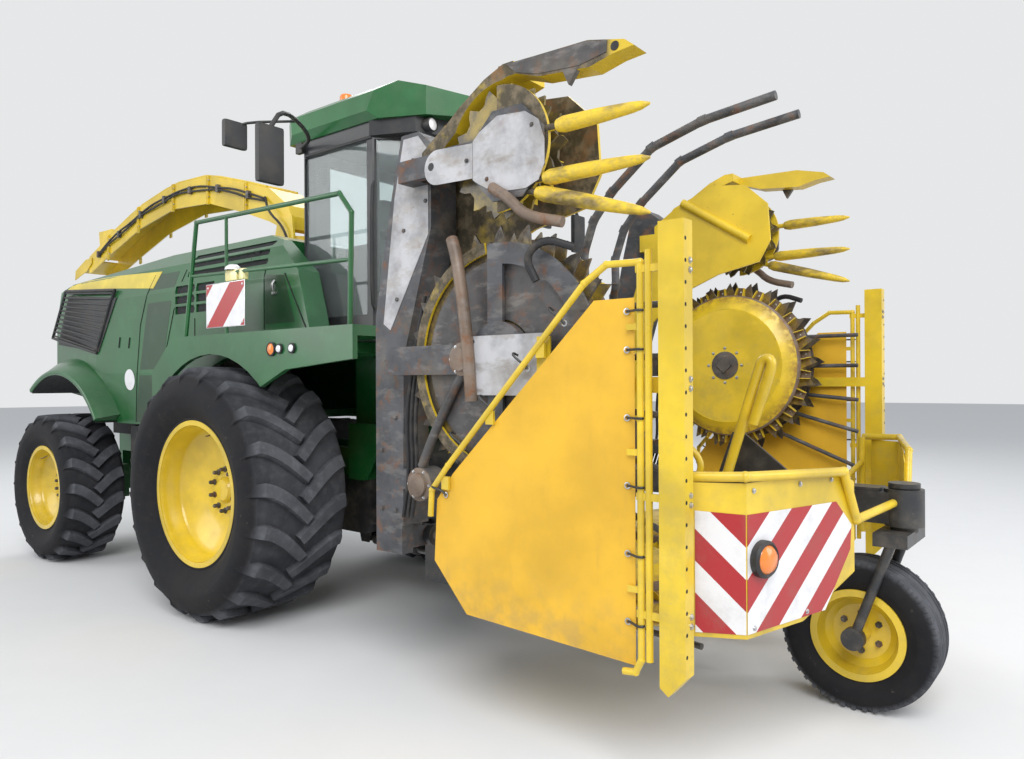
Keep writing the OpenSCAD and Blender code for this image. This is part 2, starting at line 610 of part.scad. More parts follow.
// SPOUT
elbow_z = ring_z + gap;
collar_top_z = ring_z + 80;
module spout_elbow() color(yellow) machine() {
    difference() {
        union() {
            along_z(spout_x, 0, [elbow_z, elbow_z + 50], 300);
            along_z(spout_x, 0, [elbow_z, elbow_z + 110], 220);
            both_sides() {
                side_plate([[spout_x - 130, elbow_z + 50], [spout_x + 190, elbow_z + 50],
                    [spout_x + 160, spout_hinge_z + 60], [spout_x - 60, spout_hinge_z + 60]],
                    [spout_w / 2 + gap, spout_w / 2 + gap + 24]);
                along_y(spout_x, [spout_w / 2 - 60, spout_w / 2 + gap + 2], spout_hinge_z, 30);
            }
        }
        along_z(spout_x, 0, [elbow_z - 1, collar_top_z], 150 + pin_play);
    }
}
// Top line of the spout: distance behind the hinge and height above it
spout_top = [[-110, 60], [-60, 170], [240, 380], [640, 500], [1350, 690], [2080, 715], [2900, 575],
    [3680, 330], [4180, 150], [4260, 118]];
module spout_tube() color(yellow) machine() translate([spout_x, 0, spout_hinge_z]) {
    half = spout_w / 2;
    last = len(spout_top) - 1;
    under = [for (i = [last:-1:2]) [-spout_top[i][0], spout_top[i][1] - spout_d + i * 16]];
    inner = [for (i = [2:last]) [-spout_top[i][0] - (i == last ? 20 : 0), spout_top[i][1] - spout_t]];
    difference() {
        union() {
            side_plate(concat([for (p = spout_top) [-p[0], p[1]]], under, [[60, -80], [110, -60]]),
                [-half, half]);
            // Housing of the flap's motor on the end
            side_plate([[-3700, 280], [-4120, 140], [-4160, 440], [-3800, 440]], [-110, 110]);
        }
        side_plate(concat(inner, [[-4280, -400], [-2600, -100], [-1400, 180], [-420, -60], [-240, 60]]),
            [spout_t - half, half - spout_t]);
        along_y(0, [-half - 1, half + 1], 0, 30 + pin_play);
        along_y(-flap_pin[0], [-half - 1, half + 1], flap_pin[1], 12 + pin_play);
    }
}
flap_pin = [4200, 60];
module spout_flap() color(yellow) machine() translate([spout_x, 0, spout_hinge_z]) {
    half = spout_w / 2;
    both_sides() {
        side_plate([[-4160, 30], [-4160, 95], [-4330, 90], [-4640, -30], [-4660, -150], [-4300, -60]],
            [half + gap, half + gap + 10]);
        along_y(-flap_pin[0], [half - spout_t, half + gap + 10], flap_pin[1], 12);
    }
    side_plate([[-4290, 88], [-4330, 90], [-4640, -30], [-4640, -46], [-4330, 74], [-4290, 74]],
        [-half - gap - 1, half + gap + 1]);
}

// FEED CABINET AND HEADER LIFT
lift_x = 800;
lift_z = 1400;
feed_half_w = 400;
module feed_cabinet() color(black) machine() difference() {
    union() {
        side_plate([[760, 640], [1960, 500], [1960, 1150], [1000, 1320], [760, 1300]],
            [-feed_half_w, feed_half_w]);
        both_sides() {
            side_plate([[770, 1200], [980, 1200], [880, 1470], [730, 1470]],
                [feed_half_w - 40, feed_half_w]);
            // Ears and pins of the lift cylinders' rods
            for (y = [cyl_y - 40, cyl_y + 25])
                side_plate([[rod_pin[0] - 40, 395], [rod_pin[0] + 40, 395], [rod_pin[0] + 60, 580],
                    [rod_pin[0] - 60, 580]], [y, y + 15]);
            along_y(rod_pin[0], [cyl_y - 40, cyl_y + 40], rod_pin[1], 20);
            along_y(lift_x, [feed_half_w - 40, feed_half_w], lift_z, 90);
        }
    }
    side_plate([[900, 700], [1970, 560], [1970, 940], [900, 940]], [-feed_half_w + 60, feed_half_w - 60]);
    both_sides() along_y(lift_x, [feed_half_w - 60, feed_half_w + 1], lift_z, 40 + pin_play);
}
barrel_pin = [420, 480];
rod_pin = [1500, 430];
module lift_line() {
    d = [rod_pin[0] - barrel_pin[0], rod_pin[1] - barrel_pin[1]];
    translate([barrel_pin[0], 0, barrel_pin[1]]) rotate([0, 90 - atan2(d[1], d[0]), 0]) children();
}
cyl_y = 190;
module lift_barrels() color(black) machine() both_sides() translate([0, cyl_y, 0]) lift_line() {
    difference() {
        union() {
            translate([0, 0, 100]) cylinder(h = 520, r = 48);
            rotate([90, 0, 0]) cylinder(h = 40, r = 38, center = true);
            translate([0, 0, 55]) cube([50, 36, 110], center = true);
        }
        rotate([90, 0, 0]) cylinder(h = 60, r = 20 + pin_play, center = true);
        translate([0, 0, 130]) cylinder(h = 600, r = 30 + pin_play);
    }
}
module lift_rods() color(grey) machine() both_sides() translate([0, cyl_y, 0]) lift_line() {
    length = norm([rod_pin[0] - barrel_pin[0], rod_pin[1] - barrel_pin[1]]);
    difference() {
        union() {
            translate([0, 0, 200]) cylinder(h = length - 290, r = 30);
            translate([0, 0, length - 91]) cylinder(h = 70, r = 18);
            translate([0, 0, length]) rotate([90, 0, 0]) cylinder(h = 40, r = 38, center = true);
        }
        translate([0, 0, length]) rotate([90, 0, 0]) cylinder(h = 60, r = 25, center = true);
    }
}

// HEADER
rotor_foot_z = fold_z - (wing_foot_y - fold_y);
beam_x = [1960, 2200];
// A rotor drawn about +Z: its foot is at zero, its teeth point outwards
module rotor(tip_r, teeth, height, drum_r) {
    tooth_h = tip_r * 0.16;
    function ring(r) = [for (i = [0:teeth - 1], s = [[-0.5, -tooth_h], [-0.18, -tooth_h], [0.1, 0], [0.3, -tooth_h * 0.4]])
        let (a = 360 * (i + s[0]) / teeth, q = r + s[1]) [q * cos(a), q * sin(a)]];
    difference() {
        union() {
            for (z = [0, height * 0.42]) translate([0, 0, z]) linear_extrude(rotor_disc_t)
                polygon(ring(z == 0 ? tip_r : tip_r * 0.97));
            cylinder(h = height * 0.8, r = drum_r);
            translate([0, 0, height * 0.8]) cylinder(h = height * 0.2, r1 = drum_r, r2 = drum_r * 0.82);
        }
        translate([0, 0, -1]) cylinder(h = height - 30, r = spindle_r + pin_play);
    }
}
large_h = 270;
small_h = 230;
module large_rotor() rotor(large_rotor_r, 24, large_h, large_rotor_r * 0.80);
module small_rotor() rotor(small_rotor_r, 14, small_h, small_rotor_r * 0.66);
module wing_place(z) machine() translate([rotor_x, wing_foot_y, z]) rotate([90, 0, 0]) children();
module mid_place() machine() translate([rotor_x, mid_rotor_y, rotor_foot_z]) children();
module rotor_mid_left() color(yellow) mid_place() large_rotor();
module rotor_mid_right() color(yellow) right_side() mid_place() large_rotor();
module rotor_large_left() color(yellow) wing_place(wing_large_z) large_rotor();
module rotor_large_right() color(yellow) right_side() wing_place(wing_large_z) large_rotor();
module rotor_small_left() color(yellow) wing_place(wing_small_z) small_rotor();
module rotor_small_right() color(yellow) right_side() wing_place(wing_small_z) small_rotor();

lug_r = 62;
fold_pin_r = 26;
module header_frame() color(black) machine() difference() {
    union() {
        // Back wall with the crop's way into the feed cabinet
        span(beam_x, [-1040, 1040], [520, 1080]);
        both_sides() {
            // Outer ears of the fold pin
            for (x = [beam_x[0], beam_x[1] - 50]) {
                along_x([x, x + 50], fold_y, fold_z, lug_r);
                span([x, x + 50], [1000, fold_y], [fold_z - lug_r, fold_z + lug_r]);
            }
            // Arm, gearbox and spindle under a middle rotor
            span([beam_x[1] - 100, rotor_x], [mid_rotor_y - 120, mid_rotor_y + 120],
                [rotor_foot_z - 66, rotor_foot_z - 12]);
            span([beam_x[1] - 100, beam_x[1]], [mid_rotor_y - 120, mid_rotor_y + 120],
                [rotor_foot_z - 13, rotor_foot_z + 1]);
            along_z(rotor_x, mid_rotor_y, [rotor_foot_z - 70, rotor_foot_z - 10], 190);
            along_z(rotor_x, mid_rotor_y, [rotor_foot_z - 20, rotor_foot_z + large_h - 60], spindle_r);
            // Pointed fingers ahead of a middle rotor
            for (f = [[100, 120], [590, 480], [750, 750], [910, 1020]])
                rod([3300, f[0], rotor_foot_z - 42], [3880, f[1], rotor_foot_z - 34], 16);
            span([3240, 3340], [60, 1200], [rotor_foot_z - 62, rotor_foot_z - 22]);
            span([rotor_x, 3340], [mid_rotor_y - 90, mid_rotor_y + 90], [rotor_foot_z - 62, rotor_foot_z - 22]);
        }
        // Divider nose in the middle
        span([3240, 3340], [-80, 80], [rotor_foot_z - 62, rotor_foot_z - 22]);
    }
    span([beam_x[0] - 1, beam_x[1] + 1], [-340, 340], [560, 940]);
    both_sides() along_x([beam_x[0] - 1, beam_x[1] + 1], fold_y, fold_z, fold_pin_r + pin_play);
}
draw_z = [1080, 1220];
swivel_z = [1020, 1220];
// Draw beam with the bearing of the caster's swivel pin at its end
module draw_beam() {
    span([beam_x[0], 4480], [-70, 70], draw_z);
    along_z(caster_x, 0, swivel_z, 100);
    span([4300, caster_x], [-80, 80], [swivel_z[0] + 10, swivel_z[1] - 20]);
}
module caster_beam() color(black) machine() difference() {
    union() {
        draw_beam();
        side_plate([[3520, 1210], [4040, 1210], [3690, 1490], [3620, 1490]], [-12, 12]);
        // Lower struts from the header's floor up to the bearing
        both_sides() {
            rod([beam_x[1] - 30, 300, 400], [3560, 300, 400], 40);
            rod([3560, 300, 400], [4300, 60, 1060], 40);
            translate([3560, 300, 400]) sphere(r = 46);
            span([beam_x[0] + 20, beam_x[1]], [260, 340], [360, 520]);
        }
        // Hand lever beside the gusset
        rod([3680, -250, 1230], [3890, -250, 1900], 22);
        rod([3680, -250, 1230], [3680, 0, 1200], 22);
        translate([3680, -250, 1230]) sphere(r = 26);
    }
    along_z(caster_x, 0, [swivel_z[0] - 20, swivel_z[1] + 1], swivel_r + pin_play);
}
fork_y = caster_tyre_w / 2 + 40;
module caster_fork() color(black) machine() {
    crown_z = [swivel_z[0] - 90, swivel_z[0] - 20];
    // Swivel pin, its shoulder under the bearing and its cap over it
    along_z(caster_x, 0, [crown_z[1] - 10, swivel_z[1] + gap + 20], swivel_r);
    along_z(caster_x, 0, [crown_z[1] - 10, swivel_z[0]], 70);
    along_z(caster_x, 0, [swivel_z[1] + gap, swivel_z[1] + gap + 26], 80);
    span([caster_x - 110, caster_x + 60], [-(fork_y + 30), fork_y + 30], crown_z);
    both_sides() {
        rod([caster_x - 20, fork_y, crown_z[0] + 30], [caster_x - caster_trail, fork_y, caster_tyre_r], 26);
        along_y(caster_x - caster_trail, [fork_y - 22, fork_y + 30], caster_tyre_r, 60);
    }
    along_y(caster_x - caster_trail, [-(fork_y + 24), fork_y + 24], caster_tyre_r, 25);
}
module caster_place() machine() translate([caster_x - caster_trail, 0, caster_tyre_r])
    rotate([90, 0, 0]) children();
module caster_rim() color(yellow) caster_place()
    rim_shape(caster_tyre_w * 0.74, caster_rim_r, 30, [-140, 140], 25 + pin_play);
module caster_tyre() color(tyre_black) caster_place()
    tyre_shape(caster_tyre_r, caster_tyre_w, caster_rim_r);

// Corner boards with their tubes: plan of one board from the post round to the swivel
board_plan = [[4060, 1500], [4265, 1400], [4480, 560]];
module front_boards() color(yellow) machine() difference() {
    both_sides() {
        difference() {
            flat_plate([board_plan[0], board_plan[1], board_plan[2], board_plan[2] - [8, 0],
                board_plan[1] - [8, 4], board_plan[0] - [2, 8]], [700, 1370]);
            // Slanted ends of the board
            side_plate([[4300, 600], [4600, 1040], [4600, 600]], [500, 1600]);
            side_plate([[4400, 1400], [4600, 1160], [4600, 1400]], [500, 1600]);
        }
        // Tube over the board and its arm to the swivel
        bent_tube([[4000, 1500, 1390], [4265, 1410, 1400], [4470, 700, 1370], [4490, 560, 1120],
            [caster_x - 30, 60, 1150]], 22);
        rod([4010, 1420, 700], [4010, 1420, 1390], 24);
        rod([4010, 1420, 1210], [4200, 20, 1160], 19);
    }
    draw_beam();
}

// WINGS
// A wing is drawn folded up, on the left; its rotors' heads look towards the middle
wing_beam_y = [1250, 1460];
crop_bar = [[2170, 1300, 2300], [2190, 1150, 2310], [2560, 330, 2430], [2660, 200, 2500],
    [2655, 200, 2680], [2730, 200, 2890], [2870, 200, 3060], [3170, 200, 3300], [3520, 200, 3400],
    [3970, 200, 3450]];
module wing_frame() machine() {
    // Back plate and beam
    side_plate([[beam_x[0] + 6, 960], [beam_x[1], 960], [beam_x[1] + 10, 1950], [2440, 2700],
        [2440, 3180], [2340, 3260], [2200, 3260], [2110, 2900], [beam_x[0] + 6, 2200]], wing_beam_y);
    side_plate([[beam_x[0] + 6, 790], [beam_x[1] - 10, 790], [beam_x[1] - 10, 961],
        [beam_x[0] + 6, 961]], [wing_beam_y[1] - 90, wing_beam_y[1]]);
    // Inner ear and fold pin
    span([beam_x[0] + 56, beam_x[1] - 56], [fold_y, wing_beam_y[1] - 90], [fold_z - lug_r, fold_z + lug_r]);
    along_x([beam_x[0] + 56, beam_x[1] - 56], fold_y, fold_z, lug_r);
    along_x([beam_x[0] + 2, beam_x[1] - 2], fold_y, fold_z, fold_pin_r);
    span([beam_x[0] + 56, beam_x[1] - 56], [wing_beam_y[0], wing_beam_y[1]], [fold_z, 970]);
    // Arms, gearboxes and spindles of the two rotors
    foot = wing_foot_y + 8;
    for (g = [[wing_large_z, 80, 190, large_h, 2190], [wing_small_z, 60, 150, small_h, 2300]]) {
        span([g[4], rotor_x], [foot, foot + 44], [g[0] - g[1], g[0] + g[1]]);
        span([g[4], g[4] + 130], [wing_beam_y[1] - 10, foot + 44], [g[0] - g[1], g[0] + g[1]]);
        along_y(rotor_x, [foot, foot + 50], g[0], g[2]);
        along_y(rotor_x, [wing_foot_y - g[3] + 60, foot + 10], g[0], spindle_r);
    }
    // Worn skid plates
    span([2850, 3360], [foot + 50, foot + 60], [1740, 2050]);
    translate([rotor_x + 80, foot + 50, 2960]) rotate([-90, 22.5, 0]) cylinder(h = 10, r = 250, $fn = 8);
    side_plate([[2560, 2930], [2900, 2900], [2900, 3070], [2600, 3070], [2530, 3000]], [foot + 44, foot + 54]);
    // Shaft gearboxes
    along_y(2800, [foot, foot + 60], 1930, 90);
    along_y(2460, [wing_beam_y[1], foot + 40], 1240, 95);
    span([beam_x[1], 2460], [wing_beam_y[1] - 80, wing_beam_y[1]], [1180, 1300]);
    // Crop bar, curved up and forward beside the machine's middle
    sleeved_bar(crop_bar, 28);
    // Fingers ahead of the large rotor, on a curved foot plate
    difference() {
        along_y(rotor_x, [foot + 20, foot + 40], wing_large_z, large_rotor_r * 0.86);
        along_y(rotor_x, [foot, foot + 60], wing_large_z, large_rotor_r * 0.70);
        span([1900, rotor_x - 60], [foot, foot + 60], [wing_large_z - 800, wing_large_z + 800]);
    }
    span([rotor_x - 70, rotor_x + 30], [foot + 20, foot + 40], [wing_large_z - 590, wing_large_z + 590]);
    for (f = [[1150, -500], [1420, -370], [1660, -230], [1920, -10], [2150, 220]])
        rod([rotor_x + sqrt(pow(large_rotor_r * 0.80, 2) - f[1] * f[1]), foot + 30, wing_large_z + f[1]],
            [3950, foot + 20, f[0]], 15);
}
module wing_cover() machine() {
    // Sheet over the back of the rotors
    head_y = wing_foot_y - large_h - 40;
    side_plate([[2230, 1500], [2330, 1380], [2420, 1500], [2330, 1930], [2420, 2300], [2680, 2520],
        [3000, 2650], [3330, 2720], [3420, 2880], [3400, 3160], [3220, 3330], [2960, 3360], [2620, 3230],
        [2380, 2960], [2230, 2500]], [head_y - 26, head_y - 6]);
    // Stays of the sheet on the beam
    for (z = [1620, 2100, 2400]) {
        span([2100, 2300], [head_y - 26, head_y - 6], [z, z + 80]);
        span([2100, 2180], [head_y - 26, wing_beam_y[0]], [z, z + 80]);
    }
    span([2300, 2480], [head_y - 26, head_y - 6], [2900, 3040]);
    span([2300, 2400], [head_y - 26, wing_beam_y[0]], [2900, 3040]);
    // Diagonal channel bar
    rod([2700, head_y - 30, 3260], [3260, head_y - 30, 2900], 34);
    // End divider with its long nose, cut clear of the small rotor
    difference() {
        union() {
            side_plate([[2500, 3120], [2720, 3290], [2900, 3400], [3030, 3450], [3100, 3450], [3100, 3390],
                [2950, 3350], [2560, 3060]], [head_y + 40, wing_foot_y]);
            side_plate([[3000, 3445], [3550, 3430], [3750, 3380], [3800, 3340], [3690, 3330], [3560, 3300],
                [3260, 3330], [3120, 3380], [3000, 3380]], [wing_foot_y - 120, wing_foot_y]);
            side_plate([[2440, 3040], [2560, 3040], [2620, 3220], [2440, 3100]],
                [head_y - 26, wing_foot_y]);
        }
        along_y(rotor_x, [head_y - 40, wing_foot_y + 1], wing_small_z, small_rotor_r + 25);
    }
    // Fingers ahead of the small rotor, on a curved foot plate
    foot = wing_foot_y + 8;
    difference() {
        along_y(rotor_x, [foot + 20, foot + 40], wing_small_z, small_rotor_r * 0.94);
        along_y(rotor_x, [foot, foot + 60], wing_small_z, 150);
        span([1900, rotor_x], [foot, foot + 60], [wing_small_z - 800, wing_small_z + 800]);
    }
    for (z = [2570, 2805, 3045]) {
        dz = max(z - wing_small_z, -230);
        rod([rotor_x + sqrt(pow(small_rotor_r * 0.8, 2) - dz * dz), foot + 30, wing_small_z + dz],
            [3860, foot + 20, z], 18);
    }
}
module wing_frame_left() color(black) wing_frame();
module wing_frame_right() color(black) right_side() wing_frame();
module wing_cover_left() color(yellow) wing_cover();
module wing_cover_right() color(yellow) right_side() wing_cover();

// GUARDS
// Corners of the cloth guard: place and height
tarp_outline = [[3850, 560], [3850, 2180], [3640, 2180], [2760, 1330], [2640, 1180], [2620, 850],
    [2850, 600]];
tube_y = post_y + 14;
tarp_y = [tube_y - guard_tube_r - soft_gap - tarp_t, tube_y - guard_tube_r - soft_gap];
module guard_frame() machine() {
    side_plate([[post_x - 60, post_foot_z + 30], [post_x - 20, post_foot_z], [post_x + 60, post_foot_z + 90],
        [post_x + 60, post_top_z], [post_x - 60, post_top_z]], [post_y - 40, post_y + 40]);
    rod([3930, tube_y, 600], [3930, tube_y, 2380], guard_tube_r);
    bent_tube([[3800, tube_y, 532], [3860, tube_y, 540], [3890, tube_y, 600], [3890, tube_y, 2330],
        [3720, tube_y, 2335], [3600, tube_y, 2260], [2740, tube_y, 1370], [2620, tube_y, 1230],
        [2610, tube_y, 1090]], guard_tube_r);
    for (z = [800, 1310, 2300]) span([3870, post_x - 50], [tube_y - 8, tube_y + 8], [z - 16, z + 16]);
    // Clips that hold the cloth to the tubes
    for (z = [900, 1500, 2050]) span([3820, 3890], [tarp_y[1] + soft_gap, tube_y], [z - 14, z + 14]);
    for (p = [[3330, 1985], [3010, 1655], [2700, 1300]])
        span([p[0] - 10, p[0] + 40], [tarp_y[1] + soft_gap, tube_y], [p[1] - 60, p[1] + 10]);
    // Arm that ties the guard to the wing
    span([3360, 3990], [post_y - 40, post_y - 22], [1760, 1830]);
    span([3300, 3380], [wing_foot_y + 68, post_y - 22], [1760, 2030]);
}
module guard_tarp() machine() side_plate(tarp_outline, tarp_y);
module guard_frame_left() color(yellow) guard_frame();
module guard_frame_right() color(yellow) right_side() guard_frame();
module guard_tarp_left() color([0.93, 0.70, 0.15]) guard_tarp();
module guard_tarp_right() color([0.93, 0.70, 0.15]) right_side() guard_tarp();

chassis_frame();
axles();
engine_block();
cutter_housing();
hood();
hood_grilles();
fenders();
handrails();
ladder();
cab_shell();
cab_roof();
cab_glass();
cab_controls();
seat();
door_frame();
door_glass();
mirrors();
lamps();
side_boards();
front_rim_left();
front_tyre_left();
front_rim_right();
front_tyre_right();
knuckle_left();
rear_rim_left();
rear_tyre_left();
knuckle_right();
rear_rim_right();
rear_tyre_right();
spout_elbow();
spout_tube();
spout_flap();
lift_barrels();
lift_rods();
feed_cabinet();
header_frame();
caster_beam();
front_boards();
rotor_mid_left();
rotor_mid_right();
caster_fork();
caster_rim();
caster_tyre();
wing_frame_left();
wing_cover_left();
guard_frame_left();
guard_tarp_left();
wing_frame_right();
wing_cover_right();
guard_frame_right();
guard_tarp_right();
rotor_large_left();
rotor_small_left();
rotor_large_right();
rotor_small_right();
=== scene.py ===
"""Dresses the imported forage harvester: paint, tread, cloth, lamps, plates and fittings."""
import math

import bmesh
import bpy
from mathutils import Matrix, Vector, noise
from mathutils.bvhtree import BVHTree


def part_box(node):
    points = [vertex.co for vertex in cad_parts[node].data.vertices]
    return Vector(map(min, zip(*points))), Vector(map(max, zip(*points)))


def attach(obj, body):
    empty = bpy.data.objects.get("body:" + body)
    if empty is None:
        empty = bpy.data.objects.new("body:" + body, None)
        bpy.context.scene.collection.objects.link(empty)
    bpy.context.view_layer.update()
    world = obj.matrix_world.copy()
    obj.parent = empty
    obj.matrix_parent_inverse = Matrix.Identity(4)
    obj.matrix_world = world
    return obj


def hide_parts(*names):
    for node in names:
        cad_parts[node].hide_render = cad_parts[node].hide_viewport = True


bl_info = {
    "name": "Forage harvester looks",
    "version": (1, 0, 0),
    "blender": (4, 5, 0),
    "location": "3D View > Sidebar > Harvester",
    "description": "Paint, tread, cloth, lamps and fittings of the packed forage harvester",
    "category": "Object",
}

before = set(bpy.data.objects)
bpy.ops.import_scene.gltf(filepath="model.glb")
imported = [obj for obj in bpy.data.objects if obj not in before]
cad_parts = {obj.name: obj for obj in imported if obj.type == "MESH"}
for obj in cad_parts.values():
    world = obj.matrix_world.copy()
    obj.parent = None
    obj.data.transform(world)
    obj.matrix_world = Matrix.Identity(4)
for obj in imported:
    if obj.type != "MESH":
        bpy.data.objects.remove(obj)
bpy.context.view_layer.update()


def middle_of(node):
    """Middle of a CAD node's box."""
    low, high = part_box(node)
    return (low + high) / 2


AXLE_X = middle_of("front_rim_left").x
SIDES = ((1, "left"), (-1, "right"))


def at(x, y, z):
    """A place counted from the front axle, in metres."""
    return Vector((x + AXLE_X, y, z))


def boxed(sign, low, high):
    """Two corners of a box on one side of the machine, counted from the front axle."""
    a, b = at(*low), at(*high)
    a.y, b.y = sorted((sign * a.y, sign * b.y))
    return a, b


def angles(count, shift=0.0):
    """A full turn in equal steps."""
    return [2 * math.pi * (i + shift) / count for i in range(count)]


# settings
def colour(name, description, value):
    return bpy.props.FloatVectorProperty(
        name=name, description=description, subtype="COLOR", size=3, min=0, max=1, default=value)


def length(name, description, value):
    return bpy.props.FloatProperty(
        name=name, description=description, default=value, unit="LENGTH", min=0)


class HarvesterColours(bpy.types.PropertyGroup):
    green: colour("Body green", "Paint of the body", (0.008, 0.115, 0.026))
    yellow: colour("Yellow", "Paint of the rims, the spout and the header", (0.80, 0.56, 0.025))
    cloth: colour("Guard cloth", "Cloth of the two guards", (0.80, 0.46, 0.02))
    black: colour("Black paint", "Paint of the frames and the cab", (0.022, 0.024, 0.028))
    rubber: colour("Rubber", "Tyre rubber", (0.0060, 0.0066, 0.0095))
    dust: colour("Dust", "Road dust on lower faces and rubber", (0.20, 0.17, 0.13))
    rust: colour("Rust", "Rust on worn plates", (0.20, 0.085, 0.035))
    steel: colour("Bare steel", "Steel where the paint is worn off", (0.33, 0.31, 0.29))
    board_red: colour("Board red", "Red bands of the boards", (0.40, 0.006, 0.010))
    board_white: colour("Board white", "White bands of the boards", (0.78, 0.78, 0.80))


class HarvesterSizes(bpy.types.PropertyGroup):
    lug_height: length("Lug height", "Height of a tyre's lugs", 0.055)
    front_lugs: bpy.props.IntProperty(
        name="Front lugs", description="Lugs on each half of a front tyre", default=20, min=8)
    rear_lugs: bpy.props.IntProperty(
        name="Rear lugs", description="Lugs on each half of a rear tyre", default=18, min=8)
    side_band: length("Side board band", "Width of a side board's bands", 0.165)
    front_band: length("Front board band", "Width of a front board's bands", 0.109)
    trim: length("Trim height", "How far thin trim stands off a panel", 0.003)
    cloth_wave: length("Cloth wave", "Depth of the guard cloth's waves", 0.006)


# shader maths
class Value:
    """A number on a material's socket; arithmetic on it adds Math nodes."""

    def __init__(self, finish, socket):
        self.finish, self.socket = finish, socket

    def _math(self, operation, *terms):
        return self.finish.node("ShaderNodeMath", {"operation": operation}, dict(enumerate(terms)))

    def __add__(self, other):
        return self._math("ADD", self, other)

    def __sub__(self, other):
        return self._math("SUBTRACT", self, other)

    def __rsub__(self, other):
        return self._math("SUBTRACT", other, self)

    def __mul__(self, other):
        return self._math("MULTIPLY", self, other)

    def __truediv__(self, other):
        return self._math("DIVIDE", self, other)

    def __pow__(self, other):
        return self._math("POWER", self, other)

    __radd__ = __add__
    __rmul__ = __mul__

    def most(self, other):
        return self._math("MAXIMUM", self, other)

    def least(self, other):
        return self._math("MINIMUM", self, other)

    def part(self):
        return self._math("FRACT", self)

    def size(self):
        return self._math("ABSOLUTE", self)

    def rise(self, low, high):
        """0 below low, 1 above high, smooth between."""
        return self.finish.node(
            "ShaderNodeMapRange", {"interpolation_type": "SMOOTHSTEP"},
            {"Value": self, "From Min": low, "From Max": high})


class Finish:
    """One material, or the world, built from nodes."""

    def __init__(self, name, world=None):
        self.material = world or bpy.data.materials.new(name)
        self.material.use_nodes = True
        self.tree = self.material.node_tree
        self.tree.nodes.clear()

    def node(self, kind, settings=None, sockets=None, output=0):
        """Adds a node: its settings first, then the values or links of its sockets."""
        made = self.tree.nodes.new(kind)
        for name, value in (settings or {}).items():
            setattr(made, name, value)
        for name, value in (sockets or {}).items():
            socket = made.inputs[name]
            if isinstance(value, Value):
                self.tree.links.new(value.socket, socket)
            elif isinstance(value, (tuple, list)) and len(value) == 3 and socket.type == "RGBA":
                socket.default_value = (*value, 1.0)
            else:
                socket.default_value = value
        return Value(self, made.outputs[output]) if len(made.outputs) else None

    def place(self):
        return self.node("ShaderNodeTexCoord", output="Object")

    def axes(self):
        """X, Y and Z of the surface's place, in metres."""
        return self.split(self.place())

    def split(self, vector):
        made = self.tree.nodes.new("ShaderNodeSeparateXYZ")
        self.tree.links.new(vector.socket, made.inputs[0])
        return [Value(self, out) for out in made.outputs]

    def up(self):
        """How far the surface looks upwards, from -1 to 1."""
        return self.split(self.node("ShaderNodeNewGeometry", output="Normal"))[2]

    def noise(self, scale, detail=3.0, rough=0.55, stretch=None):
        vector = self.place()
        if stretch:
            vector = self.node("ShaderNodeVectorMath", {"operation": "MULTIPLY"},
                               {0: vector, 1: stretch})
        return self.node("ShaderNodeTexNoise", None, {
            "Vector": vector, "Scale": scale, "Detail": detail, "Roughness": rough})

    def cells(self, scale):
        return self.node("ShaderNodeTexVoronoi", None, {"Vector": self.place(), "Scale": scale})

    def bands(self, direction, scale, distortion=0.0):
        return self.node("ShaderNodeTexWave", {"wave_type": "BANDS", "bands_direction": direction},
                         {"Vector": self.place(), "Scale": scale, "Distortion": distortion})

    def away(self, centre):
        """The surface's place counted from a centre."""
        return self.node("ShaderNodeVectorMath", {"operation": "SUBTRACT"},
                         {0: self.place(), 1: tuple(centre)})

    def mix(self, amount, first, second):
        return self.node("ShaderNodeMix", {"data_type": "RGBA"},
                         {0: amount, 6: first, 7: second}, output=2)

    def bump(self, height, strength, distance=0.002, onto=None):
        sockets = {"Height": height, "Strength": strength, "Distance": distance}
        if onto:
            sockets["Normal"] = onto
        return self.node("ShaderNodeBump", None, sockets)

    def done(self, base, **sockets):
        names = {key.replace("_", " ").title().replace("Ior", "IOR"): value
                 for key, value in sockets.items()}
        shader = self.node("ShaderNodeBsdfPrincipled", None, {"Base Color": base, **names})
        self.node("ShaderNodeOutputMaterial", None, {"Surface": shader})
        return self.material


def shade(name, share=1.0):
    """A colour of the settings, darkened or lightened by a share."""
    return tuple(c * share for c in getattr(bpy.context.scene.harvester_colours, name))


def sizes():
    return bpy.context.scene.harvester_sizes


FINISHES = {}


def finish_of(name, make):
    """A finish is made once and shared by all pieces that carry it."""
    if name not in FINISHES:
        FINISHES[name] = make(name)
    return FINISHES[name]


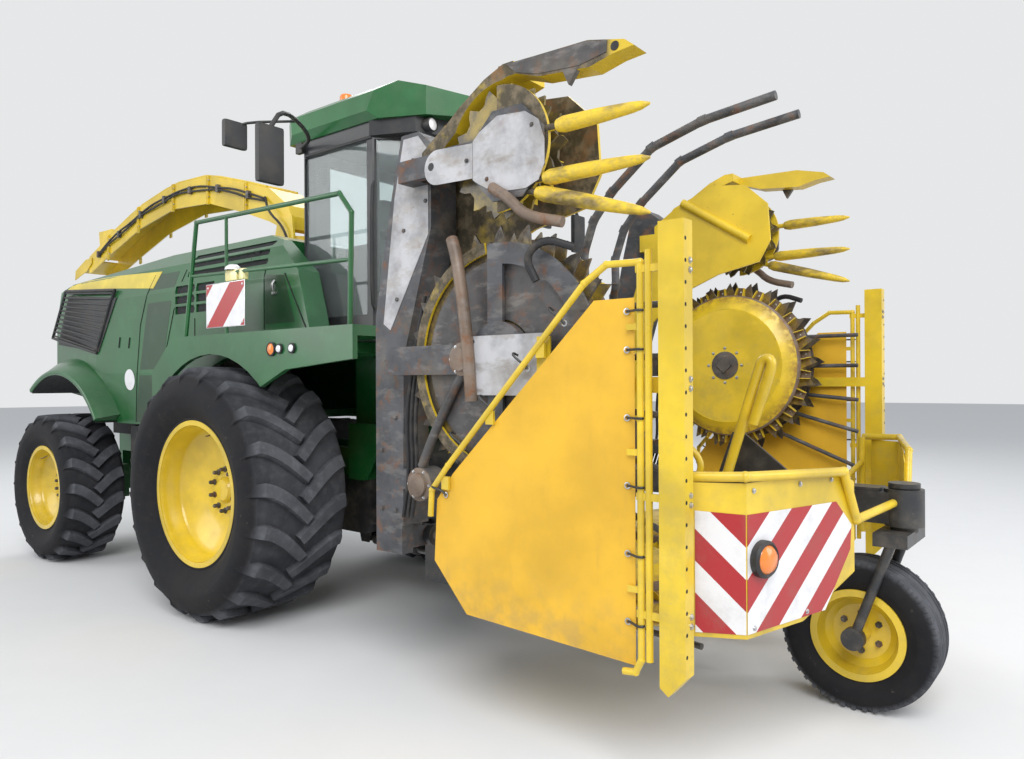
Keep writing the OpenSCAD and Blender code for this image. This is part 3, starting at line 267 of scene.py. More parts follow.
def painted(name, tint, gloss=0.32, dust=0.5, chips=0.35, coat=0.3):
    """Machine paint with faded patches, road dust low down and chips down to primer or steel."""
    f = Finish(name)
    z = f.axes()[2]
    patches = f.noise(1.7, 4.0)
    fine = f.noise(60.0, 5.0, 0.6)
    dark = tuple(c * 0.72 for c in tint)
    faded = tuple(min(1.0, c * 1.12 + 0.012) for c in tint)
    base = f.mix(patches.rise(0.35, 0.68), dark, tint)
    base = f.mix(f.noise(5.0, 3.0).rise(0.5, 0.8) * 0.5, base, faded)
    low = 1 - z.rise(0.3, 2.4)
    film = (f.noise(9.0, 6.0, 0.65).rise(0.38, 0.78) * (0.25 + low)
            + f.up().rise(0.4, 0.95) * fine.rise(0.35, 0.7) * 0.5) * dust
    base = f.mix(film.least(0.8), base, shade("dust"))
    spots = f.noise(34.0, 6.0, 0.7).rise(0.69, 0.73) * f.noise(3.1, 2.0).rise(0.45, 0.7)
    lines = f.noise(14.0, 4.0, 0.6, (1.0, 1.0, 9.0)).rise(0.71, 0.75)
    worn = (spots + lines).least(1.0) * chips
    base = f.mix(worn, base, shade("steel"))
    return f.done(
        base, roughness=(film * 0.5 + gloss + fine * 0.08).least(0.95), metallic=worn * 0.6,
        coat_weight=(1 - film).most(0.0) * coat, coat_roughness=0.12,
        normal=f.bump(fine * 0.35 + worn * -1.0 + f.noise(7.0) * 0.6, 0.25, 0.0015))


def worn_metal(name, tint, rusty=0.6, pale=0.35):
    """Plates and castings with rust, mud and rubbed bright places."""
    f = Finish(name)
    broad = f.noise(4.2, 6.0, 0.62)
    grain = f.noise(85.0, 5.0, 0.65)
    base = f.mix(broad.rise(0.3, 0.62), tint, tuple(c * 1.9 + 0.01 for c in tint))
    rubbed = (f.noise(6.5, 5.0, 0.6, (1.0, 1.0, 2.5)).rise(0.5, 0.66) * pale).least(1.0)
    base = f.mix(rubbed, base, shade("steel"))
    stain = (f.noise(11.0, 7.0, 0.7).rise(0.5, 0.7) * rusty).least(1.0)
    base = f.mix(stain, base, shade("rust"))
    mud = f.noise(2.6, 5.0, 0.6).rise(0.52, 0.72) * 0.45
    base = f.mix(mud, base, shade("dust"))
    return f.done(
        base, roughness=(0.42 + stain * 0.4 + mud * 0.4 + grain * 0.1).least(0.96),
        metallic=(rubbed * 0.7 * (1 - stain)).most(0.0),
        normal=f.bump(grain * 0.6 + stain * 1.2 + broad, 0.35, 0.003))


def green_paint(name):
    return painted(name, shade("green"), gloss=0.28, dust=0.16, chips=0.08, coat=0.35)


# Dark green that stands for painted shade on the hood's fold and on the recessed panel beside the cab; the
# catches' rims carry it too
def green_shade(name):
    return painted(name, shade("green", 0.38), gloss=0.34, dust=0.16, chips=0.04, coat=0.2)


def yellow_paint(name):
    return painted(name, shade("yellow"), gloss=0.3, dust=0.3, chips=0.3)


def black_paint(name):
    return painted(name, shade("black"), gloss=0.38, dust=0.4, chips=0.35, coat=0.15)


def rim_yellow(name):
    return painted(name, shade("yellow"), gloss=0.26, dust=0.16, chips=0.08, coat=0.4)


def dark_steel(name):
    return worn_metal(name, (0.035, 0.033, 0.033))


def rusty_steel(name):
    return worn_metal(name, (0.10, 0.07, 0.05), rusty=1.0, pale=0.25)


def pale_plate(name):
    return worn_metal(name, (0.25, 0.25, 0.26), rusty=0.22, pale=0.7)


def bright_steel(name):
    f = Finish(name)
    grain = f.noise(40.0, 3.0, 0.5, (1.0, 1.0, 12.0))
    base = f.mix(grain.rise(0.3, 0.7), (0.42, 0.42, 0.43), (0.6, 0.6, 0.6))
    return f.done(base, metallic=1.0, roughness=0.22 + grain * 0.15,
                  normal=f.bump(grain, 0.1, 0.0005))


def rotor_paint(centre):
    """Yellow of one rotor's head, rusty round the drum's foot and bare at the teeth."""
    def make(name):
        f = Finish(name)
        gap = f.node("ShaderNodeVectorMath", {"operation": "LENGTH"}, {0: f.away(centre)}, output=1)
        patch = f.noise(5.0, 6.0, 0.65)
        base = f.mix(patch.rise(0.35, 0.65), shade("yellow", 0.75), shade("yellow"))
        ring = gap.rise(0.48, 0.56) * f.noise(13.0, 6.0, 0.7).rise(0.36, 0.6)
        tips = gap.rise(0.60, 0.66) * f.noise(20.0, 4.0).rise(0.3, 0.55)
        y = f.axes()[1].size()
        stain = f.noise(9.0, 7.0, 0.72).rise(0.6, 0.75) * 0.6
        rusted = (ring * 0.75 + stain).least(1.0)
        base = f.mix(rusted, base, shade("rust"))
        base = f.mix(tips, base, shade("steel", 0.9))
        # The foot side turns outward on a folded wing and is worn dark
        foot = y.rise(1.34, 1.44) * (f.noise(7.0, 5.0, 0.6).rise(0.3, 0.6) * 0.35 + 0.62)
        base = f.mix(foot, base, (0.045, 0.038, 0.032))
        return f.done(base, roughness=(0.34 + rusted * 0.45).least(0.95), metallic=tips * 0.7,
                      coat_weight=(1 - rusted).most(0.0) * 0.2,
                      normal=f.bump(patch + f.noise(60.0, 5.0) * 0.4 + rusted * 0.6, 0.3, 0.002))
    return make


def tyre_rubber(node):
    """Rubber of one tyre: dark walls, and lugs whose heads are painted a paler grey, more so where the dust
    film lies.
    """
    low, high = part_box(node)
    middle, r = (low + high) / 2, (high.z - low.z) / 2

    def make(name):
        f = Finish(name)
        x, _, z = f.split(f.away(middle))
        gap = (x * x + z * z) ** 0.5
        grain = f.noise(120.0, 4.0, 0.6)
        patch = f.noise(3.4, 6.0, 0.6)
        heads = (gap / r).rise(0.90, 0.985)
        film = patch.rise(0.3, 0.75) * 0.4 + f.noise(14.0, 5.0).rise(0.45, 0.75) * 0.35
        base = f.mix(film * 0.10, shade("rubber"), shade("dust"))
        base = f.mix(heads * (film + 0.45), base, (0.115, 0.12, 0.135))
        scuffs = f.noise(24.0, 5.0, 0.6, (1.0, 3.0, 1.0)).rise(0.66, 0.74) * 0.25
        base = f.mix(scuffs, base, shade("dust"))
        return f.done(base, roughness=(heads * 0.15 + 0.72 + film * 0.1).least(0.95),
                      specular_ior_level=0.28, normal=f.bump(grain * 0.5 + patch * 0.7, 0.3, 0.002))

    make.__name__ = f"{node}_rubber"
    return make


def hard_plastic(name):
    f = Finish(name)
    grain = f.noise(220.0, 3.0, 0.6)
    film = f.noise(6.0, 5.0).rise(0.45, 0.8) * 0.22 + f.up().rise(0.4, 1.0) * 0.12
    base = f.mix(film, (0.018, 0.019, 0.021), shade("dust"))
    return f.done(base, roughness=(0.42 + film * 0.6 + grain * 0.08).least(0.95),
                  normal=f.bump(grain, 0.15, 0.0006))


def roof_plastic(name):
    return painted(name, shade("green", 1.12), gloss=0.3, dust=0.35, chips=0.02)


def hose_rubber(name):
    f = Finish(name)
    weave = f.bands("DIAGONAL", 160.0, 1.5)
    film = f.noise(12.0, 4.0).rise(0.45, 0.75) * 0.3
    base = f.mix(film, (0.014, 0.014, 0.016), shade("dust"))
    return f.done(base, roughness=(0.5 + film).least(0.95), normal=f.bump(weave, 0.12, 0.0006))


def clear_glass(name):
    f = Finish(name)
    film = f.noise(7.0, 5.0).rise(0.45, 0.85) * 0.10
    base = f.mix(film, (0.80, 0.88, 0.88), (0.5, 0.48, 0.44))
    return f.done(base, roughness=film + 0.02, transmission_weight=0.92, ior=1.38,
                  normal=f.bump(f.noise(2.0), 0.02, 0.001))


def mirror_glass(name):
    f = Finish(name)
    film = f.noise(9.0, 4.0).rise(0.5, 0.8) * 0.15
    return f.done(f.mix(film, (0.72, 0.76, 0.80), shade("dust")), metallic=1.0,
                  roughness=film + 0.04)


def lens(tint):
    def make(name):
        f = Finish(name)
        ribs = f.bands("Z", 60.0)
        film = f.noise(30.0, 4.0).rise(0.5, 0.8) * 0.2
        base = f.mix(film, tint, shade("dust"))
        return f.done(base, roughness=film + 0.12, coat_weight=0.8, coat_roughness=0.05,
                      normal=f.bump(ribs, 0.25, 0.001))
    return make


def guard_cloth(name):
    """Coated cloth: fine weave, broad soft folds, and dust that gathers low down."""
    f = Finish(name)
    x, _, z = f.axes()
    weave = ((x * 320.0).part() - 0.5).size() + ((z * 320.0).part() - 0.5).size()
    broad = f.noise(2.2, 5.0, 0.6)
    streaks = f.noise(3.0, 5.0, 0.62, (3.2, 1.0, 0.6))
    base = f.mix(broad.rise(0.3, 0.7), shade("cloth", 0.78), shade("cloth"))
    base = f.mix(streaks.rise(0.55, 0.8) * 0.30, base, (0.45, 0.24, 0.04))
    grime = (1 - z.rise(0.5, 1.0)) * f.noise(10.0, 5.0).rise(0.35, 0.7) * 0.4
    base = f.mix(grime, base, shade("dust"))
    folds = f.noise(1.6, 3.0, 0.5, (1.4, 1.0, 0.7))
    bump = f.bump(weave, 0.18, 0.0006, onto=f.bump(folds, 0.35, 0.03))
    return f.done(base, roughness=(0.55 + grime * 0.4).least(0.9), sheen_weight=0.15, normal=bump)


def seat_cloth(name):
    f = Finish(name)
    ribs = ((f.axes()[1] * 40.0).part() - 0.5).size()
    weave = f.noise(300.0, 3.0, 0.7)
    base = f.mix(f.noise(9.0, 4.0).rise(0.4, 0.7), (0.028, 0.03, 0.034), (0.06, 0.062, 0.066))
    return f.done(base, roughness=0.86, sheen_weight=0.25,
                  normal=f.bump(weave * 0.5 + ribs.rise(0.3, 0.5), 0.4, 0.002))


def board_sheet(tint):
    """Reflecting sheet of a board: tiny cells under a dull film of dirt."""
    def make(name):
        f = Finish(name)
        cell = f.cells(260.0)
        grime = f.noise(7.0, 6.0, 0.65).rise(0.45, 0.8) * 0.28
        base = f.mix(cell.rise(0.2, 0.6) * 0.12, tint, tuple(c * 0.7 for c in tint))
        base = f.mix(grime, base, shade("dust"))
        return f.done(base, roughness=(0.3 + grime).least(0.9), coat_weight=0.3,
                      coat_roughness=0.15, normal=f.bump(cell, 0.08, 0.0005))
    return make


# Near black: the display and dark joints, and painted shade in the louvre slots, slots, holes, creases and
# arch walls
def dark_inside(name):
    f = Finish(name)
    grain = f.noise(30.0, 4.0)
    return f.done(f.mix(grain.rise(0.3, 0.7), (0.006, 0.007, 0.008), (0.02, 0.02, 0.022)),
                  roughness=0.85, normal=f.bump(grain, 0.3, 0.002))


def red_lens(name):
    return lens((0.55, 0.02, 0.01))(name)


def amber_lens(name):
    return lens((0.85, 0.22, 0.02))(name)


def white_lens(name):
    return lens((0.80, 0.80, 0.82))(name)


def red_sheet(name):
    return board_sheet(shade("board_red"))(name)


def white_sheet(name):
    return board_sheet(shade("board_white"))(name)


def yellow_stripe(name):
    return painted(name, (0.86, 0.66, 0.035), gloss=0.25, dust=0.12, chips=0.04, coat=0.4)


def wing_yellow(name):
    """Yellow sheet, rubbed dark on its outward faces but not at the divider's tip."""
    f = Finish(name)
    x, y, _ = f.axes()
    facing = f.split(f.node("ShaderNodeNewGeometry", output="Normal"))[1]
    outward = (facing * y).rise(0.5, 0.9) * (1 - x.rise(3.64 + AXLE_X, 3.70 + AXLE_X))
    patch = f.noise(4.5, 6.0, 0.62)
    streak = f.noise(16.0, 5.0, 0.65)
    yellow = f.mix(f.noise(2.2, 4.0).rise(0.35, 0.68), shade("yellow", 0.74), shade("yellow"))
    dark = f.mix(streak.rise(0.4, 0.65), (0.030, 0.029, 0.030), (0.15, 0.12, 0.09))
    dark = f.mix(patch.rise(0.55, 0.7) * 0.7, dark, shade("rust"))
    bare = (outward * (patch.rise(0.25, 0.45) * 0.6 + 0.35)).least(1.0)
    chips = f.noise(30.0, 6.0, 0.7).rise(0.64, 0.68) * f.noise(3.1, 2.0).rise(0.4, 0.65) * 0.7
    base = f.mix(bare.most(chips), yellow, dark)
    return f.done(base, roughness=(0.38 + bare * 0.3 + streak * 0.1).least(0.9),
                  coat_weight=(1 - bare).most(0.0) * 0.25, coat_roughness=0.15,
                  normal=f.bump(patch + streak * 0.6 + chips * -0.6, 0.3, 0.002))


def finger_paint(name):
    """Yellow fingers, rubbed to dark steel in patches."""
    f = Finish(name)
    bands = f.noise(3.4, 4.0, 0.6, (1.0, 1.6, 2.4)).rise(0.44, 0.64)
    grain = f.noise(40.0, 5.0, 0.65)
    dark = f.mix(grain.rise(0.4, 0.65), (0.035, 0.032, 0.030), (0.17, 0.13, 0.10))
    yellow = f.mix(grain.rise(0.3, 0.8) * 0.4, shade("yellow"), shade("dust"))
    return f.done(f.mix(bands * 0.8, yellow, dark), roughness=0.45 + bands * 0.2,
                  normal=f.bump(grain, 0.3, 0.001))


def wing_black(name):
    return worn_metal(name, (0.030, 0.032, 0.037), rusty=0.7, pale=0.25)


def lamp_yellow(name):
    return lens((0.80, 0.72, 0.30))(name)


def rotor_yellow(name):
    return painted(name, shade("yellow"), gloss=0.36, dust=0.5, chips=0.7)


# shapes
def placed(name, data):
    """A new object in the scene."""
    thing = bpy.data.objects.new(name, data)
    bpy.context.scene.collection.objects.link(thing)
    return thing


class Shape:
    """Faces gathered for one piece; each part may carry its own finish."""

    def __init__(self, *makers):
        self.makers = makers
        self.points, self.faces, self.looks = [], [], []

    def add(self, points, faces, look=0):
        start = len(self.points)
        self.points += [Vector(p) for p in points]
        self.faces += [tuple(start + i for i in face) for face in faces]
        self.looks += [look] * len(faces)

    def rings(self, rings, look=0):
        """A closed skin over rings of equally many points, capped at both ends."""
        n = len(rings[0])
        points = [p for ring in rings for p in ring]
        faces = []
        for k in range(len(rings) - 1):
            for i in range(n):
                j = (i + 1) % n
                faces.append((k * n + i, k * n + j, (k + 1) * n + j, (k + 1) * n + i))
        faces += [tuple(reversed(range(n))), tuple(range((len(rings) - 1) * n, len(rings) * n))]
        self.add(points, faces, look)

    def turned(self, place, axis, profile, sides=32, look=0, closed=False):
        """A turned part: profile gives pairs of radius and distance along the axis."""
        axis = Vector(axis).normalized()
        across = axis.orthogonal().normalized()
        third = axis.cross(across)
        points = []
        for a in angles(sides):
            side = across * math.cos(a) + third * math.sin(a)
            points += [Vector(place) + side * r + axis * t for r, t in profile]
        n = len(profile)
        faces = []
        for i in range(sides):
            j = (i + 1) % sides
            for k in range(n if closed else n - 1):
                m = (k + 1) % n
                faces.append((i * n + k, i * n + m, j * n + m, j * n + k))
        self.add(points, faces, look)

    def stud(self, place, axis, r, h, look=0):
        """A bolt's head with its washer."""
        self.turned(place, axis, [(0, 0), (r * 1.5, 0), (r * 1.5, h * 0.25), (r, h * 0.3),
                                  (r, h * 0.9), (r * 0.8, h), (0, h)], 6, look)

    def tube(self, points, r, sides=10, look=0, smooth=0):
        """A round bar or hose along points; smooth rounds its corners."""
        path = [Vector(p) for p in points]
        for _ in range(smooth):
            fresh = [path[0]]
            for a, b in zip(path, path[1:]):
                fresh += [a.lerp(b, 0.25), a.lerp(b, 0.75)]
            path = fresh + [path[-1]]
        rings, side = [], None
        for i, p in enumerate(path):
            along = (path[min(i + 1, len(path) - 1)] - path[max(i - 1, 0)]).normalized()
            side = along.orthogonal() if side is None else side - along * side.dot(along)
            side.normalize()
            other = along.cross(side)
            rings.append([p + (side * math.cos(a) + other * math.sin(a)) * r for a in angles(sides)])
        self.rings(rings, look)

    def block(self, low, high, edge=0.004, look=0, turn=None):
        """A block with broken edges; turn is a matrix about the block's middle."""
        low, high = Vector(low), Vector(high)
        middle, half = (low + high) / 2, (high - low) / 2
        edge = min(edge, min(half) * 0.9)
        bm = bmesh.new()
        bmesh.ops.create_cube(bm, size=2)
        for v in bm.verts:
            v.co = Vector(v.co[i] * half[i] for i in range(3))
        bmesh.ops.bevel(bm, geom=list(bm.edges), offset=edge, segments=2, profile=0.7,
                        affect="EDGES")
        bm.verts.index_update()
        spin = turn.to_3x3() if turn else Matrix.Identity(3)
        self.add([spin @ v.co + middle for v in bm.verts],
                 [tuple(v.index for v in face.verts) for face in bm.faces], look)
        bm.free()

    def sheet(self, outline, thick, look=0):
        """A plate: its outline's points in space, and its thickness as a vector."""
        points = [Vector(p) for p in outline]
        self.rings([points, [p + Vector(thick) for p in points]], look)

    def mirrored(self, other):
        """Adds another shape's mirror image across the machine's middle."""
        start = len(self.points)
        self.points += [Vector((p.x, -p.y, p.z)) for p in other.points]
        self.faces += [tuple(start + i for i in reversed(face)) for face in other.faces]
        self.looks += other.looks

    def mesh(self, name):
        mesh = bpy.data.meshes.new(name)
        mesh.from_pydata(self.points, [], self.faces)
        return mesh

    def piece(self, name, body, slot, replaces=(), soft=40):
        """Makes the object, rides it on a body, and hides the CAD nodes that it stands for."""
        mesh = self.mesh(name)
        for maker in self.makers:
            mesh.materials.append(finish_of(maker.__name__, maker))
        mesh.polygons.foreach_set("material_index", self.looks)
        bm = bmesh.new()
        bm.from_mesh(mesh)
        bmesh.ops.recalc_face_normals(bm, faces=bm.faces)
        bm.to_mesh(mesh)
        bm.free()
        mesh.shade_smooth()
        mesh.set_sharp_from_angle(angle=math.radians(soft))
        piece = placed(name, mesh)
        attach(piece, body)
        if replaces:
            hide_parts(*replaces)
        return piece


def clipped(polygon, normal, offset):
    """The part of a flat polygon on the side of a line where normal . p <= offset."""
    kept = []
    for i, p in enumerate(polygon):
        q = polygon[(i + 1) % len(polygon)]
        a, b = normal.dot(p) - offset, normal.dot(q) - offset
        if a <= 0:
            kept.append(p)
        if (a < 0) != (b < 0) and a != b:
            kept.append(p.lerp(q, a / (a - b)))
    return kept


def striped(shape, corners, place, lean, band, first, thick):
    """A flat board cut into leaning bands of the first two looks. Place maps its flat points into
    space, lean is the angle of the bands' normal, and first is where a band of look 0 begins."""
    corners = [Vector(c) for c in corners]
    normal = Vector((math.cos(lean), math.sin(lean)))
    reach = [normal.dot(c) - first for c in corners]
    for i in range(math.floor(min(reach) / band), math.ceil(max(reach) / band)):
        strip = clipped(clipped(corners, normal, first + (i + 1) * band), -normal, -(first + i * band))
        if len(strip) > 2:
            shape.sheet([place(p) for p in strip], thick, i % 2)


# wheels
def tyre(name, body, nodes, middle, r, w, rim_r, lugs):
    """A field tyre: carcass, beads and two rows of swept lugs that meet near the middle."""
    high = sizes().lug_height
    base = r - high
    wall = base - rim_r
    shape = Shape(tyre_rubber(nodes[0]))
    half = [(rim_r - 0.022, 0.360), (rim_r + 0.006, 0.392), (rim_r + 0.020, 0.388),
            (rim_r + 0.034, 0.405), (rim_r + wall * 0.28, 0.455), (rim_r + wall * 0.31, 0.462),
            (rim_r + wall * 0.50, 0.490), (rim_r + wall * 0.56, 0.497), (rim_r + wall * 0.72, 0.490),
            (rim_r + wall * 0.86, 0.468), (base - 0.012, 0.43), (base - 0.002, 0.38), (base, 0.22)]
    profile = [(q, -a * w) for q, a in half] + [(base + 0.002, 0)] + [(q, a * w) for q, a in reversed(half)]
    shape.turned(middle, (0, 1, 0), profile, 120)

    def spot(q, a, angle):
        return Vector((middle.x + q * math.cos(angle), middle.y + a, middle.z + q * math.sin(angle)))

    steps = 12
    pitch = 2 * math.pi / lugs
    for side in (-1, 1):
        for i in range(lugs):
            first = pitch * (i + (0.5 if side < 0 else 0.0))
            path = []
            for k in range(steps + 1):
                t = k / steps
                a = -0.03 + 0.49 * t ** 0.92
                sweep = 0.30 * w * (1.0 - (1.0 - min(t, 0.9) / 0.9) ** 1.7)
                top = r - 0.004 - max(0.0, t - 0.45) ** 2 * 0.035
                foot = base - 0.012
                if t > 0.84:
                    fall = (t - 0.84) / 0.16
                    top = r - 0.010 - fall * (high + 0.085)
                    a = 0.40 + 0.085 * fall ** 0.6
                    foot = min(foot, top - 0.03)
                wide = 0.036 + 0.012 * t
                path.append((a * w, sweep, top, foot, wide))
            rings = []
            for k, (a, sweep, top, foot, wide) in enumerate(path):
                before, after = path[max(k - 1, 0)], path[min(k + 1, steps)]
                along = Vector((after[1] - before[1], after[0] - before[0]))
                along = along.normalized() if along.length > 1e-6 else Vector((1, 0))
                if k > steps * 0.84:
                    along = Vector((0.25, 1)).normalized()
                cross = Vector((-along.y, along.x))
                ring = []
                for reach, q in ((-wide - 0.013, foot), (-wide, top), (wide, top), (wide + 0.013, foot)):
                    s, b = sweep + cross.x * reach, a + cross.y * reach
                    b = min(b, 0.488 * w)
                    ring.append(spot(q, side * b, first + s / r))
                rings.append(ring)
            shape.rings(rings)
    return shape.piece(name, body, "tyre_rubber", nodes, soft=32)


class TyresOperator(bpy.types.Operator):
    """Four field tyres with swept lugs, and the caster's ribbed tyre"""
    bl_idname = "harvester.tyres"
    bl_label = "Tyres"

    def execute(self, context):
        for _, side in SIDES:
            for end, lugs in (("front", sizes().front_lugs), ("rear", sizes().rear_lugs)):
                node = f"{end}_tyre_{side}"
                low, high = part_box(node)
                rim_low, rim_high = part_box(f"{end}_rim_{side}")
                tyre(f"{end}_tread_{side}", f"{end}_wheel_{side}", [node], (low + high) / 2,
                     (high.z - low.z) / 2, high.y - low.y, (rim_high.z - rim_low.z) / 2, lugs)
        self.caster()
        return {"FINISHED"}

    def caster(self):
        low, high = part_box("caster_tyre")
        rim_low, rim_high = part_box("caster_rim")
        middle, r, w = (low + high) / 2, (high.z - low.z) / 2, high.y - low.y
        rim_r = (rim_high.z - rim_low.z) / 2
        wall = r - rim_r
        half = [(rim_r - 0.02, 0.36), (rim_r + 0.008, 0.40), (rim_r + wall * 0.3, 0.475),
                (rim_r + wall * 0.34, 0.482), (rim_r + wall * 0.55, 0.5), (rim_r + wall * 0.78, 0.485),
                (r - 0.02, 0.45), (r - 0.008, 0.40)]
        ribs = []
        for a in (0.34, 0.20, 0.07):
            ribs += [(r - 0.001, a + 0.035), (r, a - 0.02), (r - 0.014, a - 0.03), (r - 0.014, a - 0.06)]
        line = half + ribs[:-2]
        profile = [(q, -a * w) for q, a in line] + [(q, a * w) for q, a in reversed(line)]
        shape = Shape(tyre_rubber("caster_tyre"))
        shape.turned(middle, (0, 1, 0), profile, 96)
        for side in (-1, 1):
            for angle in angles(44, 0.25 * side):
                out = Vector((math.cos(angle), 0, math.sin(angle)))
                turn = Matrix.Rotation(-angle, 4, "Y")
                place = middle + out * (r - 0.021) + Vector((0, side * 0.445 * w, 0))
                half = Vector((0.014, 0.012, 0.012))
                shape.block(place - half, place + half, 0.003, turn=turn)
        shape.piece("caster_tread", "caster_wheel", "tyre_rubber", ["caster_tyre"])


class RimsOperator(bpy.types.Operator):
    """Hubs, nuts and valves of the wheels"""
    bl_idname = "harvester.rims"
    bl_label = "Rim fittings"

    # For each axle: the disc's distance from the middle, the radius of the nuts' ring, the dish's profile
    WHEELS = {
        "front": (1.170, 0.162, [(0.5165, 0.375), (0.508, 0.352), (0.507, 0.315), (0.494, 0.298),
                                 (0.492, 0.235), (0.480, 0.215), (0.455, 0.195), (0.33, 0.135),
                                 (0.24, 0.112)]),
        "rear": (1.190, 0.130, [(0.383, 0.250), (0.376, 0.232), (0.375, 0.205), (0.362, 0.190),
                                (0.360, 0.150), (0.350, 0.130), (0.335, 0.115), (0.25, 0.070),
                                (0.19, 0.050)]),
    }

    def execute(self, context):
        for sign, side in SIDES:
            for end, (disc, ring, dish) in self.WHEELS.items():
                self.hub(sign, side, end, disc, ring, dish)
        self.caster()
        return {"FINISHED"}

    def hub(self, sign, side, end, disc, ring, dish):
        """Pressed dish over the disc, its hub, the ring of wheel nuts and the valve."""
        centre = middle_of(f"{end}_tyre_{side}")
        hub = Vector((centre.x, sign * disc, centre.z))
        shape = Shape(rim_yellow, dark_steel)
        out = Vector((0, sign, 0))
        face = dish[-1][1]
        shape.turned(hub, out, [*dish, (0.105, face), (0.100, face + 0.012), (0.080, face + 0.034),
                                (0, face + 0.040)], 96)
        for a in angles(10, 0.5):
            spot = hub + Vector((ring * math.cos(a), sign * face, ring * math.sin(a)))
            shape.stud(spot, out, 0.016, 0.050, 1)
        rim_low, rim_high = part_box(f"{end}_rim_{side}")
        rim_r = (rim_high.z - rim_low.z) / 2
        valve = hub + Vector((0, sign * 0.22, rim_r - 0.105))
        shape.tube([valve, valve + Vector((0, sign * 0.035, -0.02)),
                    valve + Vector((0, sign * 0.06, -0.022))], 0.005, 6, 1)
        shape.piece(f"{end}_hub_{side}", f"{end}_wheel_{side}", "yellow_paint")

    def caster(self):
        centre = middle_of("caster_tyre")
        shape = Shape(rim_yellow, dark_steel)
        for a in angles(6, 0.5):
            spot = centre + Vector((0.105 * math.cos(a), -0.031, 0.105 * math.sin(a)))
            shape.stud(spot, (0, -1, 0), 0.013, 0.03, 1)
        shape.piece("caster_nuts", "caster_wheel", "yellow_paint")


# body
REAR_HUB = (-3.12, 0, 0.747)


class Side:
    """Looks at a CAD node from the left and tells how far out it reaches at a point of its side view."""

    def __init__(self, node, least):
        self.least = least
        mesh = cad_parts[node]
        points = [mesh.matrix_world @ v.co for v in mesh.data.vertices]
        self.tree = BVHTree.FromPolygons(points, [tuple(face.vertices) for face in mesh.data.polygons])

    def spot(self, x, z, lift=0.0):
        hit = self.tree.ray_cast(at(x, 3, z), Vector((0, -1, 0)))[0]
        reach = hit.y if hit and hit.y > self.least else self.least
        return at(x, reach + lift, z)

    def line(self, points, lift=0.0, parts=8):
        """A line on the surface through points of the side view."""
        path = []
        for (x0, z0), (x1, z1) in zip(points, points[1:]):
            path += [self.spot(x0 + (x1 - x0) * k / parts, z0 + (z1 - z0) * k / parts, lift)
                     for k in range(parts)]
        return path + [self.spot(*points[-1], lift)]

    def patch(self, shape, upper, lower, lift, look=0, thick=0.006, parts=4):
        """A thin skin between an upper and a lower line of equally many points."""
        rings = []
        for a, b in zip(self.line(upper, parts=parts), self.line(lower, parts=parts)):
            row = [self.spot(a.x + (b.x - a.x) * k / parts - AXLE_X, a.z + (b.z - a.z) * k / parts, lift)
                   for k in range(parts + 1)]
            rings.append(row + [p - Vector((0, thick, 0)) for p in reversed(row)])
        shape.rings(rings, look)

    def disc(self, shape, x, z, r, lift, look=0):
        """A flat round patch that follows the surface."""
        edge = [self.spot(x + r * math.cos(a), z + r * math.sin(a), lift) for a in angles(32)]
        shape.add([self.spot(x, z, lift)] + edge, [(0, k + 1, (k + 1) % 32 + 1) for k in range(32)], look)


